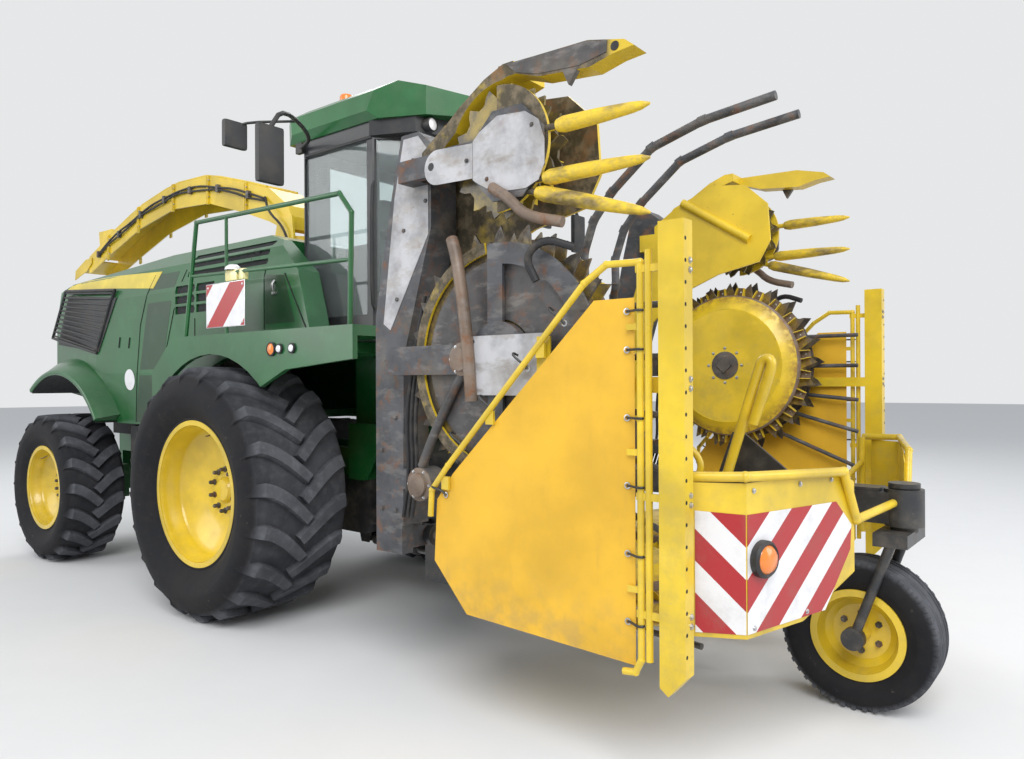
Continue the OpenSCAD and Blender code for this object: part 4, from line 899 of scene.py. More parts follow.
class HoodOperator(bpy.types.Operator):
    """Vents, stripe, seams, catches and flared arch lips of the hood"""
    bl_idname = "harvester.hood"
    bl_label = "Hood trim"

    # Ends of the louvre rows in X, the rows' heights, and how high a slot is
    LOUVRES = ((-1.020, -0.715, (2.410, 2.500, 2.590), 0.068), (-0.670, -0.400, (2.410, 2.500, 2.590), 0.068),
               (-0.860, 0.320, (2.730, 2.806, 2.882), 0.046))
    LOUVRE_EDGE = 0.004

    def execute(self, context):
        side = Side("hood", 0.60)
        self.stripe(side)
        self.vents(side)
        self.seams(side)
        self.grilles()
        self.lips()
        self.liners()
        return {"FINISHED"}

    def both(self, one, name, slot):
        """The piece and its mirror image as one piece."""
        both = Shape(*one.makers)
        both.add(one.points, one.faces)
        both.looks = list(one.looks)
        both.mirrored(one)
        return both.piece(name, "chassis", slot)

    def stripe(self, side):
        one = Shape(yellow_stripe)
        side.patch(one, [(-3.30, 2.845), (-2.93, 2.878), (-2.20, 2.865), (-1.34, 2.825)],
                   [(-3.42, 2.795), (-2.90, 2.772), (-2.30, 2.742), (-1.44, 2.675)], sizes().trim)
        self.both(one, "hood_stripe", "yellow_paint")

    def vents(self, side):
        """Painted shade in the louvre slots as dark patches, a dark round patch, and the recessed panel
        beside the cab as a flat dark green skin of painted shade, with its catch.
        """
        one = Shape(dark_inside)
        edge = self.LOUVRE_EDGE
        # Each slot gets a dark patch: painted shade for the dark recess behind the louvres
        for x0, x1, rows, high in self.LOUVRES:
            for z in rows:
                left, right, top, low = x0 + edge, x1 - edge, z + high - edge, z + edge
                side.patch(one, [(left, top), (right, top)], [(left, low), (right, low)], 0.0012, 0, 0.004, 2)
        side.disc(one, 0.15, 2.81, 0.062, 0.0015)
        self.both(one, "hood_vents", "green_paint")
        # This panel is on the right only, because the open door lies against the hood's left side
        flat = Side("hood", 1.149)
        panel = Shape(dark_inside, green_shade, bright_steel)
        # Painted shade: the recessed panel is a flat skin in dark green
        flat.patch(panel, [(0.345, 2.64), (0.585, 2.62)], [(0.345, 2.26), (0.72, 2.26)], 0.003, 1)
        panel.tube(flat.line([(0.60, 2.63), (0.86, 2.20)], 0.002), 0.006, 6)
        grip = flat.spot(0.47, 2.54, 0.003)
        panel.tube([grip + Vector((0, 0, 0.045)), grip + Vector((0, 0.022, 0.02)),
                    grip + Vector((0, 0.022, -0.02)), grip + Vector((0, 0, -0.045))], 0.011, 8, 2, smooth=1)
        panel.block(grip + Vector((-0.03, -0.004, -0.062)), grip + Vector((0.03, 0.010, -0.040)), 0.005, 2)
        right = Shape(*panel.makers)
        right.mirrored(panel)
        right.piece("hood_panel", "chassis", "green_paint")

    def seams(self, side):
        """Panel gaps, painted shade over the fold behind the vents and along its creases, catches, two slots
        darkened as painted shade, and the blank round sign.
        """
        one = Shape(dark_inside, bright_steel, green_shade, white_sheet)
        # Painted shade: a dark green skin over the hood's fold between its two creases
        side.patch(one, [(-1.45, 2.80), (-1.02, 2.80)], [(-1.80, 1.44), (-1.38, 1.44)], 0.0010, 2, 0.004, 10)
        # The first two lines run along the fold's creases: dark lines partly for panel edges and partly
        # painted shade in the creases; the other two are panel gaps
        for line in ([(-0.90, 2.80), (-1.06, 2.41), (-1.25, 1.94), (-1.36, 1.50)],
                     [(-1.45, 2.80), (-1.66, 2.35), (-1.80, 1.44)], [(-0.693, 2.36), (-0.693, 2.10)],
                     [(0.33, 2.22), (0.33, 2.70)]):
            one.tube(side.line(line, 0.0005), 0.0045, 6)
        # Two slots drawn as dark bars: painted shade in the slots
        for x, z in ((-2.08, 2.20), (-1.88, 2.19)):
            one.tube(side.line([(x + 0.012, z + 0.05), (x - 0.012, z - 0.05)], 0.0, 2), 0.009, 6)
        for x, z in ((-1.52, 1.60), (-0.82, 2.11), (-2.30, 2.52)):
            place = side.spot(x, z)
            one.turned(place, (0, 1, 0), [(0.022, -0.004), (0.022, 0.004), (0.016, 0.008), (0, 0.009)], 20, 2)
            one.turned(place, (0, 1, 0), [(0.010, 0.004), (0.010, 0.011), (0, 0.012)], 12, 1)
        one.turned(side.spot(-0.94, 2.12), (0, 1, 0), [(0.016, -0.002), (0.014, 0.008), (0, 0.009)], 16, 3)
        side.disc(one, -1.88, 1.84, 0.100, 0.003, 3)
        self.both(one, "hood_seams", "green_paint")

    def grilles(self):
        """Dark slats over the side grilles, in their frame."""
        one = Shape(hard_plastic)
        top, low = [(-3.30, 2.785), (-2.17, 2.715)], [(-3.64, 2.30), (-2.57, 2.11)]
        side = Side("hood_grilles", 1.152)
        for i in range(11):
            t = (i + 0.5) / 11
            (x0, z0), (x1, z1) = [(a[0] + (b[0] - a[0]) * t, a[1] + (b[1] - a[1]) * t)
                                  for a, b in zip(top, low)]
            one.tube(side.line([(x0 + 0.03, z0), (x1 - 0.03, z1)], 0.004), 0.010, 6)
        edge = side.line([top[0], top[1], low[1], low[0], top[0]], 0.004)
        one.tube(edge, 0.016, 8)
        self.both(one, "grille_slats", "black_plastic")

    def liners(self):
        """Near-black inner walls of the rear wheels' arches, partly their black liners and partly painted
        shade under the hood, and the tanks between the wheels.
        """
        one = Shape(dark_inside, hard_plastic, dark_steel)
        hub, r = at(*REAR_HUB), 1.144
        # The walls are near black: partly black liners, partly painted shade under the hood
        arc = [math.radians(36.5 + 87 * k / 24) for k in range(25)]
        rings = [[hub + Vector((q * math.cos(a), y, q * math.sin(a)))
                  for q, y in ((r, 0.46), (r, 1.325), (r - 0.004, 1.325), (r - 0.004, 0.464))] for a in arc]
        one.rings(rings)
        wall = [hub + Vector((r * math.cos(a), 0.46, r * math.sin(a))) for a in arc]
        wall += [hub + Vector((-0.64, 0.46, 0.48)), hub + Vector((0.90, 0.46, 0.48))]
        one.sheet(wall, (0, 0.004, 0))
        one.block(at(-2.12, 0.52, 0.80), at(-1.14, 1.04, 1.40), 0.05, 1)
        for x in (-1.90, -1.36):
            one.block(at(x, 0.515, 0.795), at(x + 0.05, 1.045, 1.405), 0.004, 2)
        self.both(one, "arch_liners", "black_plastic")

    def lips(self):
        """Flared skin over the lips of the rear arches, wider towards the back."""
        one = Shape(green_paint)
        hub, r, steps = at(*REAR_HUB), 1.15, 36
        rings = []
        for k in range(steps + 1):
            a = math.radians(37.2 + 86 * k / steps)
            out = Vector((math.cos(a), 0, math.sin(a)))
            flare = 0.06 + 0.12 * k / steps
            rings.append([hub + out * (r + q) + Vector((0, y, 0)) for q, y in (
                (0.060 + flare, 1.06), (0.050 + flare * 0.75, 1.17), (0.046 + flare * 0.34, 1.26),
                (0.046, 1.336), (0.036, 1.344), (0.006, 1.344), (-0.003, 1.338), (-0.003, 1.08))])
        one.rings(rings)
        self.both(one, "arch_lips", "green_paint")


class PaintOperator(bpy.types.Operator):
    """Finishes of the CAD nodes that stay as they are"""
    bl_idname = "harvester.paint"
    bl_label = "Paint"

    NODES = {
        green_paint: ("chassis_frame", "axles", "hood", "fenders", "handrails"),
        roof_plastic: ("cab_roof",),
        black_paint: ("cutter_housing", "ladder", "cab_shell", "door_frame", "knuckle_left",
                      "knuckle_right", "feed_cabinet", "header_frame", "caster_beam", "caster_fork",
                      "lift_barrels"),
        hard_plastic: ("cab_controls", "hood_grilles"),
        clear_glass: ("cab_glass", "door_glass"),
        dark_steel: ("engine_block",),
        bright_steel: ("lift_rods",),
        rim_yellow: ("front_rim_left", "front_rim_right", "rear_rim_left", "rear_rim_right", "caster_rim"),
        yellow_paint: ("spout_elbow", "spout_tube", "spout_flap", "front_boards", "guard_frame_left",
                       "guard_frame_right"),
        wing_yellow: ("wing_cover_left", "wing_cover_right"),
        wing_black: ("wing_frame_left", "wing_frame_right"),
    }

    def execute(self, context):
        for maker, nodes in self.NODES.items():
            for node in nodes:
                self.give(node, finish_of(maker.__name__, maker))
        for _, side in SIDES:
            for kind in ("mid", "large", "small"):
                node = f"rotor_{kind}_{side}"
                self.give(node, finish_of(f"{node}_paint", rotor_paint(middle_of(node))))
        return {"FINISHED"}

    def give(self, node, material):
        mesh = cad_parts[node].data
        mesh.materials.clear()
        mesh.materials.append(material)


# cab
class CabOperator(bpy.types.Operator):
    """Display, lever, switches, arm rest, wiper, grab rails and gutters of the cab"""
    bl_idname = "harvester.cab"
    bl_label = "Cab fittings"

    def execute(self, context):
        inside = Shape(hard_plastic, dark_inside, bright_steel, seat_cloth)
        inside.block(at(0.98, -0.58, 2.98), at(1.02, -0.34, 3.16), 0.012)
        inside.block(at(0.972, -0.565, 2.995), at(0.985, -0.355, 3.145), 0.003, 1)
        inside.tube([at(0.95, -0.46, 2.86), at(0.98, -0.46, 2.94), at(1.0, -0.46, 3.0)], 0.014)
        inside.block(at(0.66, -0.55, 2.875), at(1.12, -0.32, 2.905), 0.012)
        inside.tube([at(1.06, -0.42, 2.89), at(1.08, -0.41, 2.98), at(1.07, -0.40, 3.03)], 0.012)
        inside.turned(at(1.07, -0.40, 3.05), (0, 0, 1),
                      [(0, -0.04), (0.024, -0.03), (0.032, 0), (0.022, 0.03), (0, 0.036)], 16)
        for k in range(6):
            inside.turned(at(0.74 + 0.04 * k, -0.40, 2.905), (0, 0, 1),
                          [(0.012, 0), (0.010, 0.006), (0, 0.007)], 12, 2)
        # Arm rest and belt reel beside the seat
        inside.block(at(0.70, 0.27, 2.96), at(1.05, 0.33, 3.02), 0.02, 3)
        inside.tube([at(0.72, 0.29, 2.72), at(0.70, 0.30, 2.98)], 0.016)
        inside.piece("cab_instruments", "chassis", "black_plastic")
        # Wiper, grab rails and gutters
        trim = Shape(hard_plastic)
        trim.tube([at(1.715, 0.0, 2.30), at(1.722, 0.18, 2.65), at(1.722, 0.36, 3.05)], 0.009, 8)
        trim.block(at(1.709, 0.17, 2.66), at(1.722, 0.19, 3.30), 0.003)
        trim.turned(at(1.695, 0.0, 2.30), (1, 0, 0), [(0.03, 0), (0.03, 0.02), (0.012, 0.03), (0, 0.03)], 16)
        for sign in (-1, 1):
            trim.tube([at(1.33, sign * 0.905, 2.33), at(1.33, sign * 0.94, 2.38),
                       at(1.33, sign * 0.94, 3.20), at(1.33, sign * 0.905, 3.25)], 0.011, 8, smooth=1)
            trim.tube([at(0.52, sign * 0.903, 3.575), at(1.30, sign * 0.903, 3.575)], 0.012, 6)
        trim.piece("cab_trim", "chassis", "black_plastic")
        return {"FINISHED"}


class SeatOperator(bpy.types.Operator):
    """The driver's seat: cushion and backrest, stuffed and sewn"""
    bl_idname = "harvester.seat"
    bl_label = "Driver's seat"

    HALF_WIDTH = 0.24
    LEAN = math.radians(-8)
    FILL = 0.6
    SEAM_Y, SEAM_WIDTH, SEAM_DEPTH = 0.165, 0.008, 0.008

    def execute(self, context):
        low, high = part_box("seat")
        y = self.HALF_WIDTH
        base = self.pad((low.x + 0.10, -y, low.z + 0.004), (high.x - 0.01, y, low.z + 0.108), 0.045, "z")
        back = self.pad((-0.045, -y, 0), (0.045, y, 0.56), 0.04, "x")
        hinge = Matrix.Translation((low.x + 0.135, 0, low.z + 0.10))
        back.data.transform(hinge @ Matrix.Rotation(self.LEAN, 4, "Y"))
        for pad, name in ((base, "seat_cushion"), (back, "seat_back")):
            pad.name = name
            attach(pad, "chassis")
            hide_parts("seat")
        return {"FINISHED"}

    def seam(self, y, other):
        """Depth of the sewn grooves, at a distance from the middle and from the cross seam."""
        groove = (math.exp(-((abs(y) - self.SEAM_Y) / self.SEAM_WIDTH) ** 2)
                  + math.exp(-(other / self.SEAM_WIDTH) ** 2))
        return self.SEAM_DEPTH * min(1.0, groove)

    def pad(self, low, high, edge, thin):
        """A cushion: a rounded block, bulged towards its middle and grooved along its seams."""
        shape = Shape(seat_cloth)
        shape.block(low, high, edge)
        mesh = shape.mesh("pad")
        mesh.materials.append(finish_of("seat_cloth", seat_cloth))
        pad = placed("pad", mesh)
        bm = bmesh.new()
        bm.from_mesh(mesh)
        bmesh.ops.subdivide_edges(bm, edges=list(bm.edges), cuts=5, use_grid_fill=True)
        bmesh.ops.triangulate(bm, faces=[f for f in bm.faces if len(f.verts) > 4])
        low, high = Vector(low), Vector(high)
        middle, half = (low + high) / 2, (high - low) / 2
        for v in bm.verts:
            q = v.co - middle
            u = [max(0.0, 1 - abs(q[i] / half[i]) ** 2.4) for i in range(3)]
            if thin == "z":
                v.co.z += (u[0] * u[1]) * 0.012 * (1 if q.z > 0 else 0)
                v.co.y -= q.y * 0.05 * (1 - u[0])
                bolster = max(0.0, abs(q.y / half.y) - 0.72) / 0.28
                v.co.z += 0.014 * bolster * (1 - bolster) * 4 * (1 if q.z > 0 else 0)
                v.co.z -= self.seam(q.y, q.x - 0.03) * (1 if q.z > 0 else 0)
            else:
                v.co.x += (u[2] * u[1]) * 0.010 * (1 if q.x > 0 else -0.4)
                v.co.x -= self.seam(q.y, q.z + 0.02) * (1 if q.x > 0 else 0)
                v.co.y *= 1 - 0.18 * max(0.0, q.z / half.z - 0.55) ** 1.5
        bm.normal_update()
        bm.to_mesh(mesh)
        bm.free()
        mesh.shade_smooth()
        return pad


class MirrorsOperator(bpy.types.Operator):
    """Mirrors on their arms, a large and a small one on each side"""
    bl_idname = "harvester.mirrors"
    bl_label = "Mirrors"

    def execute(self, context):
        for sign, side in SIDES:
            shape = Shape(hard_plastic, mirror_glass)

            def spot(x, y, z):
                return at(x, sign * y, z)

            shape.block(*boxed(sign, (0.44, 0.90, 3.60), (0.52, 0.938, 3.68)), 0.006)
            shape.tube([spot(0.48, 0.92, 3.64), spot(0.76, 1.015, 3.65), spot(1.29, 1.64, 3.59),
                        spot(1.302, 1.752, 3.42)], 0.015, 12, smooth=2)
            shape.tube([spot(1.064, 1.375, 3.614), spot(0.902, 1.742, 3.545), spot(0.902, 1.75, 3.45)],
                       0.009, 10, smooth=2)
            for low, high in (((1.275, 1.655, 3.07), (1.325, 1.845, 3.44)),
                              ((0.880, 1.665, 3.37), (0.925, 1.835, 3.55))):
                shape.block(*boxed(sign, low, high), 0.022)
                inner = [(low[0] - 0.001, low[1] + 0.018, low[2] + 0.02),
                         (low[0] + 0.004, high[1] - 0.018, high[2] - 0.02)]
                shape.block(*boxed(sign, *inner), 0.002, 1)
            shape.piece(f"mirror_{side}", "chassis", "black_plastic", ["mirrors"])
        return {"FINISHED"}


# lamps and boards
class LampsOperator(bpy.types.Operator):
    """Beacon, work lamps, skirt lamps and tail lamps"""
    bl_idname = "harvester.lamps"
    bl_label = "Lamps"

    def execute(self, context):
        shape = Shape(hard_plastic, amber_lens, white_lens, red_lens)
        foot = at(0.60, -0.56, 3.98)
        shape.turned(foot, (0, 0, 1), [(0.050, 0), (0.050, 0.018), (0.034, 0.03), (0.034, 0.05),
                                       (0.052, 0.058), (0.052, 0.066), (0, 0.066)], 32)
        shape.turned(foot, (0, 0, 1), [(0.050, 0.066), (0.056, 0.075), (0.054, 0.135), (0.046, 0.152),
                                       (0.02, 0.159), (0, 0.160)], 32, 1)
        for sign in (-1, 1):
            for x, y in ((1.74, 0.25), (1.70, 0.48), (1.60, 0.69)):
                spot = at(x, sign * y, 3.635)
                shape.turned(spot, (1, 0, 0), [(0, 0), (0.046, 0), (0.050, 0.02), (0.050, 0.104),
                                               (0.044, 0.108), (0.044, 0.098)], 28)
                shape.turned(spot, (1, 0, 0), [(0.044, 0.098), (0.03, 0.105), (0, 0.107)], 28, 2)
            # Lamps on the platform's skirt: amber, white beside it, and a single white one ahead of them
            for x, r, look in ((0.83, 0.050, 1), (0.925, 0.036, 2), (1.07, 0.036, 2)):
                spot = at(x, sign * 1.42, 2.045)
                shape.turned(spot, (0, sign, 0), [(r, -0.002), (r, 0.014), (r - 0.008, 0.018),
                                                  (r - 0.008, 0.012)], 28)
                shape.turned(spot, (0, sign, 0), [(r - 0.008, 0.012), (r * 0.6, 0.021), (0, 0.024)], 28, look)
            # Tail lamps
            spot = at(-3.79, sign * 0.62, 2.35)
            shape.turned(spot, (-1, 0, 0), [(0.062, -0.19), (0.062, -0.004), (0.052, 0), (0.052, -0.01)], 28)
            shape.turned(spot, (-1, 0, 0), [(0.052, -0.01), (0.034, -0.002), (0, 0)], 28, 3)
        shape.piece("lamp_set", "chassis", "lamp_plastic", ["lamps"])
        return {"FINISHED"}


class BoardsOperator(bpy.types.Operator):
    """Red and white banded boards at the machine's corners"""
    bl_idname = "harvester.boards"
    bl_label = "Banded boards"

    def execute(self, context):
        for sign, side in SIDES:
            self.side_board(sign, side)
            self.front_board(sign, side)
        return {"FINISHED"}

    # Corners of the front board's fold in plan, ahead of the front axle and off the middle
    PLAN = ((4.060, 1.500), (4.265, 1.400), (4.480, 0.560))
    RIM = 0.006

    def side_board(self, sign, side):
        low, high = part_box("side_boards")
        outer = max(abs(low.y), abs(high.y))
        shape = Shape(red_sheet, white_sheet, bright_steel, lamp_yellow, white_lens)
        left, right, foot, top = low.x + self.RIM, high.x - self.RIM, low.z + self.RIM, high.z - self.RIM
        corners = [(left, foot), (right, foot), (right, top), (left, top)]
        striped(shape, corners, lambda p: Vector((p.x, sign * (outer - 0.002), p.y)),
                math.radians(135), sizes().side_band,
                (low.z - low.x) * math.sqrt(0.5) - sizes().side_band, Vector((0, sign * 0.0018, 0)))
        a = Vector((low.x, sign * (outer - 0.006), low.z))
        b = Vector((high.x, sign * (outer - 0.001), high.z))
        a.y, b.y = sorted((a.y, b.y))
        shape.block(a, b, 0.002, 2)
        for x in (low.x + 0.03, high.x - 0.03):
            for z in (low.z + 0.03, high.z - 0.03):
                shape.stud(Vector((x, sign * (outer - 0.001), z)), (0, sign, 0), 0.007, 0.006, 2)
        # Marker lamp over the board, with its dome and a narrow second lens
        front = sign * (outer - 0.006)
        for x0, x1 in ((0.25, 0.415), (0.44, 0.50)):
            shape.block(Vector((low.x + x0, min(front, front - sign * 0.05), high.z + 0.004)),
                        Vector((low.x + x1, max(front, front - sign * 0.05), high.z + 0.090)), 0.016, 3)
        shape.turned(Vector((low.x + 0.33, front - sign * 0.025, high.z + 0.088)), (0, 0, 1),
                     [(0.062, 0), (0.058, 0.02), (0.035, 0.04), (0, 0.046)], 24, 4)
        shape.piece(f"side_board_{side}", "chassis", "board_white", ["side_boards"])

    def front_board(self, sign, side):
        plan = [at(x, sign * y, 0) for x, y in self.PLAN]
        shape = Shape(red_sheet, white_sheet, amber_lens, hard_plastic, bright_steel)
        band = sizes().front_band
        # Flat outline of each panel: distance along the panel from its first corner, and height
        outer = [(0.012, 0.720), (0.225, 0.720), (0.225, 1.235), (0.012, 1.248)]
        inner = [(0.003, 0.720), (0.60, 0.720), (0.825, 0.98), (0.835, 1.10), (0.70, 1.225), (0.003, 1.235)]
        for start, end, outline, lean, first, wide in ((plan[0], plan[1], outer, 45, 0.7375, band * 0.9),
                                                       (plan[1], plan[2], inner, 130, 0.622, band)):
            along = (end - start).normalized()
            out = Vector((abs(along.y), -along.x * (1 if along.y > 0 else -1), 0)).normalized()
            if out.x < 0:
                out = -out
            origin = start + out * 0.0012

            def place(p, origin=origin, along=along):
                return origin + along * p.x + Vector((0, 0, p.y))

            striped(shape, outline, place, math.radians(lean), wide, first, out * 0.0016)
        fold = plan[1]
        along = (plan[2] - fold).normalized()
        out = Vector((abs(along.y), abs(along.x) * sign, 0)).normalized()
        spot = fold + along * 0.10 + out * 0.002 + Vector((0, 0, 1.035))
        shape.turned(spot, out, [(0.082, 0), (0.082, 0.030), (0.070, 0.042), (0.062, 0.036)], 36, 3)
        shape.turned(spot, out, [(0.062, 0.036), (0.048, 0.052), (0.022, 0.058), (0, 0.059)], 36, 2)
        for d, z in ((0.05, 1.335), (0.40, 1.335), (0.66, 1.335), (0.05, 0.74), (0.45, 0.74)):
            shape.stud(fold + along * d + out * 0.001 + Vector((0, 0, z)), out, 0.009, 0.008, 4)
        shape.piece(f"front_board_bands_{side}", "header", "board_white")


# spout
class SpoutOperator(bpy.types.Operator):
    """Ribs, brackets, hoses and wear strips of the discharge spout"""
    bl_idname = "harvester.spout"
    bl_label = "Spout fittings"

    TOP = [(0.11, 0.06), (0.06, 0.17), (-0.24, 0.38), (-0.64, 0.50), (-1.35, 0.69), (-2.08, 0.715),
           (-2.90, 0.575), (-3.68, 0.33), (-4.18, 0.15)]
    FLANGES = (-0.64, -1.35, -2.08, -2.90, -3.68)
    HINGE_X, HINGE_Z, HALF_WIDTH = -0.78, 3.33, 0.19

    def top(self, x):
        """Height of the spout's top over the hinge, at a distance ahead of it."""
        for (x0, z0), (x1, z1) in zip(self.TOP, self.TOP[1:]):
            if x1 <= x <= x0:
                return z0 + (z1 - z0) * (x - x0) / (x1 - x0)
        return self.TOP[-1][1]

    def spot(self, x, y, drop=0.0):
        return at(x + self.HINGE_X, y, self.HINGE_Z + self.top(x) - drop)

    def execute(self, context):
        shape = Shape(yellow_paint, hose_rubber, dark_steel, bright_steel)
        half = self.HALF_WIDTH
        stations = [-0.30 - 0.28 * k for k in range(14)]
        for x in self.FLANGES:
            # Bolted flanges between the spout's sections
            for dx in (-0.012, 0.012):
                a, b = self.spot(x + dx, 0), self.spot(x + dx, 0, 0.34)
                for y in (-half - 0.022, half - 0.001):
                    shape.block((a.x - 0.005, y, b.z + 0.03), (a.x + 0.005, y + 0.023, a.z), 0.002)
            for sign in (-1, 1):
                for drop in (0.05, 0.14, 0.23):
                    spot = self.spot(x, sign * (half + 0.012), drop)
                    shape.stud(spot + Vector((0.017, 0, 0)), (1, 0, 0), 0.007, 0.008, 3)
        # Top rails
        for sign in (-1, 1):
            shape.tube([self.spot(x, sign * (half - 0.014)) + Vector((0, 0, 0.008)) for x in stations],
                       0.014, 8)
        # Hoses in clips along both sides
        for sign, shift in ((-1, 0.10), (-1, 0.135), (1, 0.10)):
            line = [self.spot(x, sign * (half + 0.022 + 0.006 * math.sin(5 * x)),
                              shift + 0.014 * math.sin(7 * x + shift * 40)) for x in stations]
            shape.tube(line, 0.011, 8, 1, smooth=1)
        for x in stations[1::2]:
            for sign in (-1, 1):
                spot = self.spot(x, sign * (half + 0.018), 0.118)
                clip = Vector((0.022, 0.020, 0.040))
                shape.block(spot - clip, spot + clip, 0.006, 2)
        shape.tube([self.spot(-0.30, -0.20, 0.10), at(-0.92, -0.27, 3.45), at(-0.72, -0.26, 3.30),
                    at(-0.66, -0.24, 3.16)], 0.012, 8, 1, smooth=2)
        shape.piece("spout_lines", "spout", "yellow_paint")
        return {"FINISHED"}


# header
class RotorsOperator(bpy.types.Operator):
    """Hubs, pocketed rings and knives on the heads of the six rotors"""
    bl_idname = "harvester.rotors"
    bl_label = "Rotor heads"

    def execute(self, context):
        for sign, side in SIDES:
            for kind, r, teeth, top, drum in (("mid", 0.69, 24, 0.27, 0.552),
                                              ("large", 0.69, 24, 0.27, 0.552),
                                              ("small", 0.345, 14, 0.23, 0.228)):
                node = f"rotor_{kind}_{side}"
                low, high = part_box(node)
                if kind == "mid":
                    foot = Vector(((low.x + high.x) / 2, (low.y + high.y) / 2, low.z))
                    axis = Vector((0, 0, 1))
                    body = f"mid_rotor_{side}"
                else:
                    outer = high.y if sign > 0 else low.y
                    foot = Vector(((low.x + high.x) / 2, outer, (low.z + high.z) / 2))
                    axis = Vector((0, -sign, 0))
                    body = f"{kind}_rotor_{side}"
                self.head(f"rotor_head_{kind}_{side}", body, foot, axis, r, teeth, top, drum)
        return {"FINISHED"}

    def head(self, name, body, foot, axis, r, teeth, top, drum):
        shape = Shape(rotor_yellow, dark_steel, rusty_steel, bright_steel)
        across = axis.orthogonal().normalized()
        third = axis.cross(across)

        def outward(a):
            return across * math.cos(a) + third * math.sin(a)

        def spot(q, a, t):
            return foot + outward(a) * q + axis * t

        big = r > 0.5
        hub = 0.11 if big else 0.075
        # Domed cap, its rusty ring and the square drive in the middle
        shape.turned(foot, axis, [(drum * 0.80, top + 0.0005), (drum * 0.62, top + 0.004),
                                  (hub, top + 0.006)], 72)
        shape.turned(foot, axis, [(drum * 1.0, top * 0.8 + 0.001), (drum * 1.02, top * 0.8 - 0.008),
                                  (drum * 1.02, top * 0.62), (drum * 0.999, top * 0.60)], 72, 2)
        shape.turned(foot, axis, [(hub, top), (hub, top + 0.012), (hub * 0.7, top + 0.020), (0, top + 0.020)],
                     32, 1)
        if big:
            shape.sheet([spot(0.062, a, top + 0.018) for a in angles(4, 0.5)], axis * 0.018, 1)
        for a in angles(8 if big else 6):
            shape.stud(spot(hub * 1.25, a, top + 0.005), axis, 0.009, 0.009, 3)
        # Ring of pockets between the drum and the teeth
        wide = math.pi * drum / teeth * 0.42
        for a in angles(teeth, 0.5):
            base = spot(drum + 0.004, a, top * 0.42 + 0.014)
            out = outward(a)
            along = axis.cross(out)
            reach = (r - drum) * 0.52
            ends = [(base + along * wide * edge, base + along * wide * 0.8 * edge + out * reach)
                    for edge in (1, -1)]
            shape.sheet([ends[0][0], ends[1][0], ends[1][1], ends[0][1]], axis * 0.006, 2)
            for edge, (near, far) in zip((1, -1), ends):
                shape.sheet([near, far, far + axis * 0.030, near + axis * 0.052], along * 0.005 * edge)
            shape.stud(base + out * (reach * 0.5) + axis * 0.006, axis, 0.006, 0.006, 3)
        shape.piece(name, body, "yellow_paint")


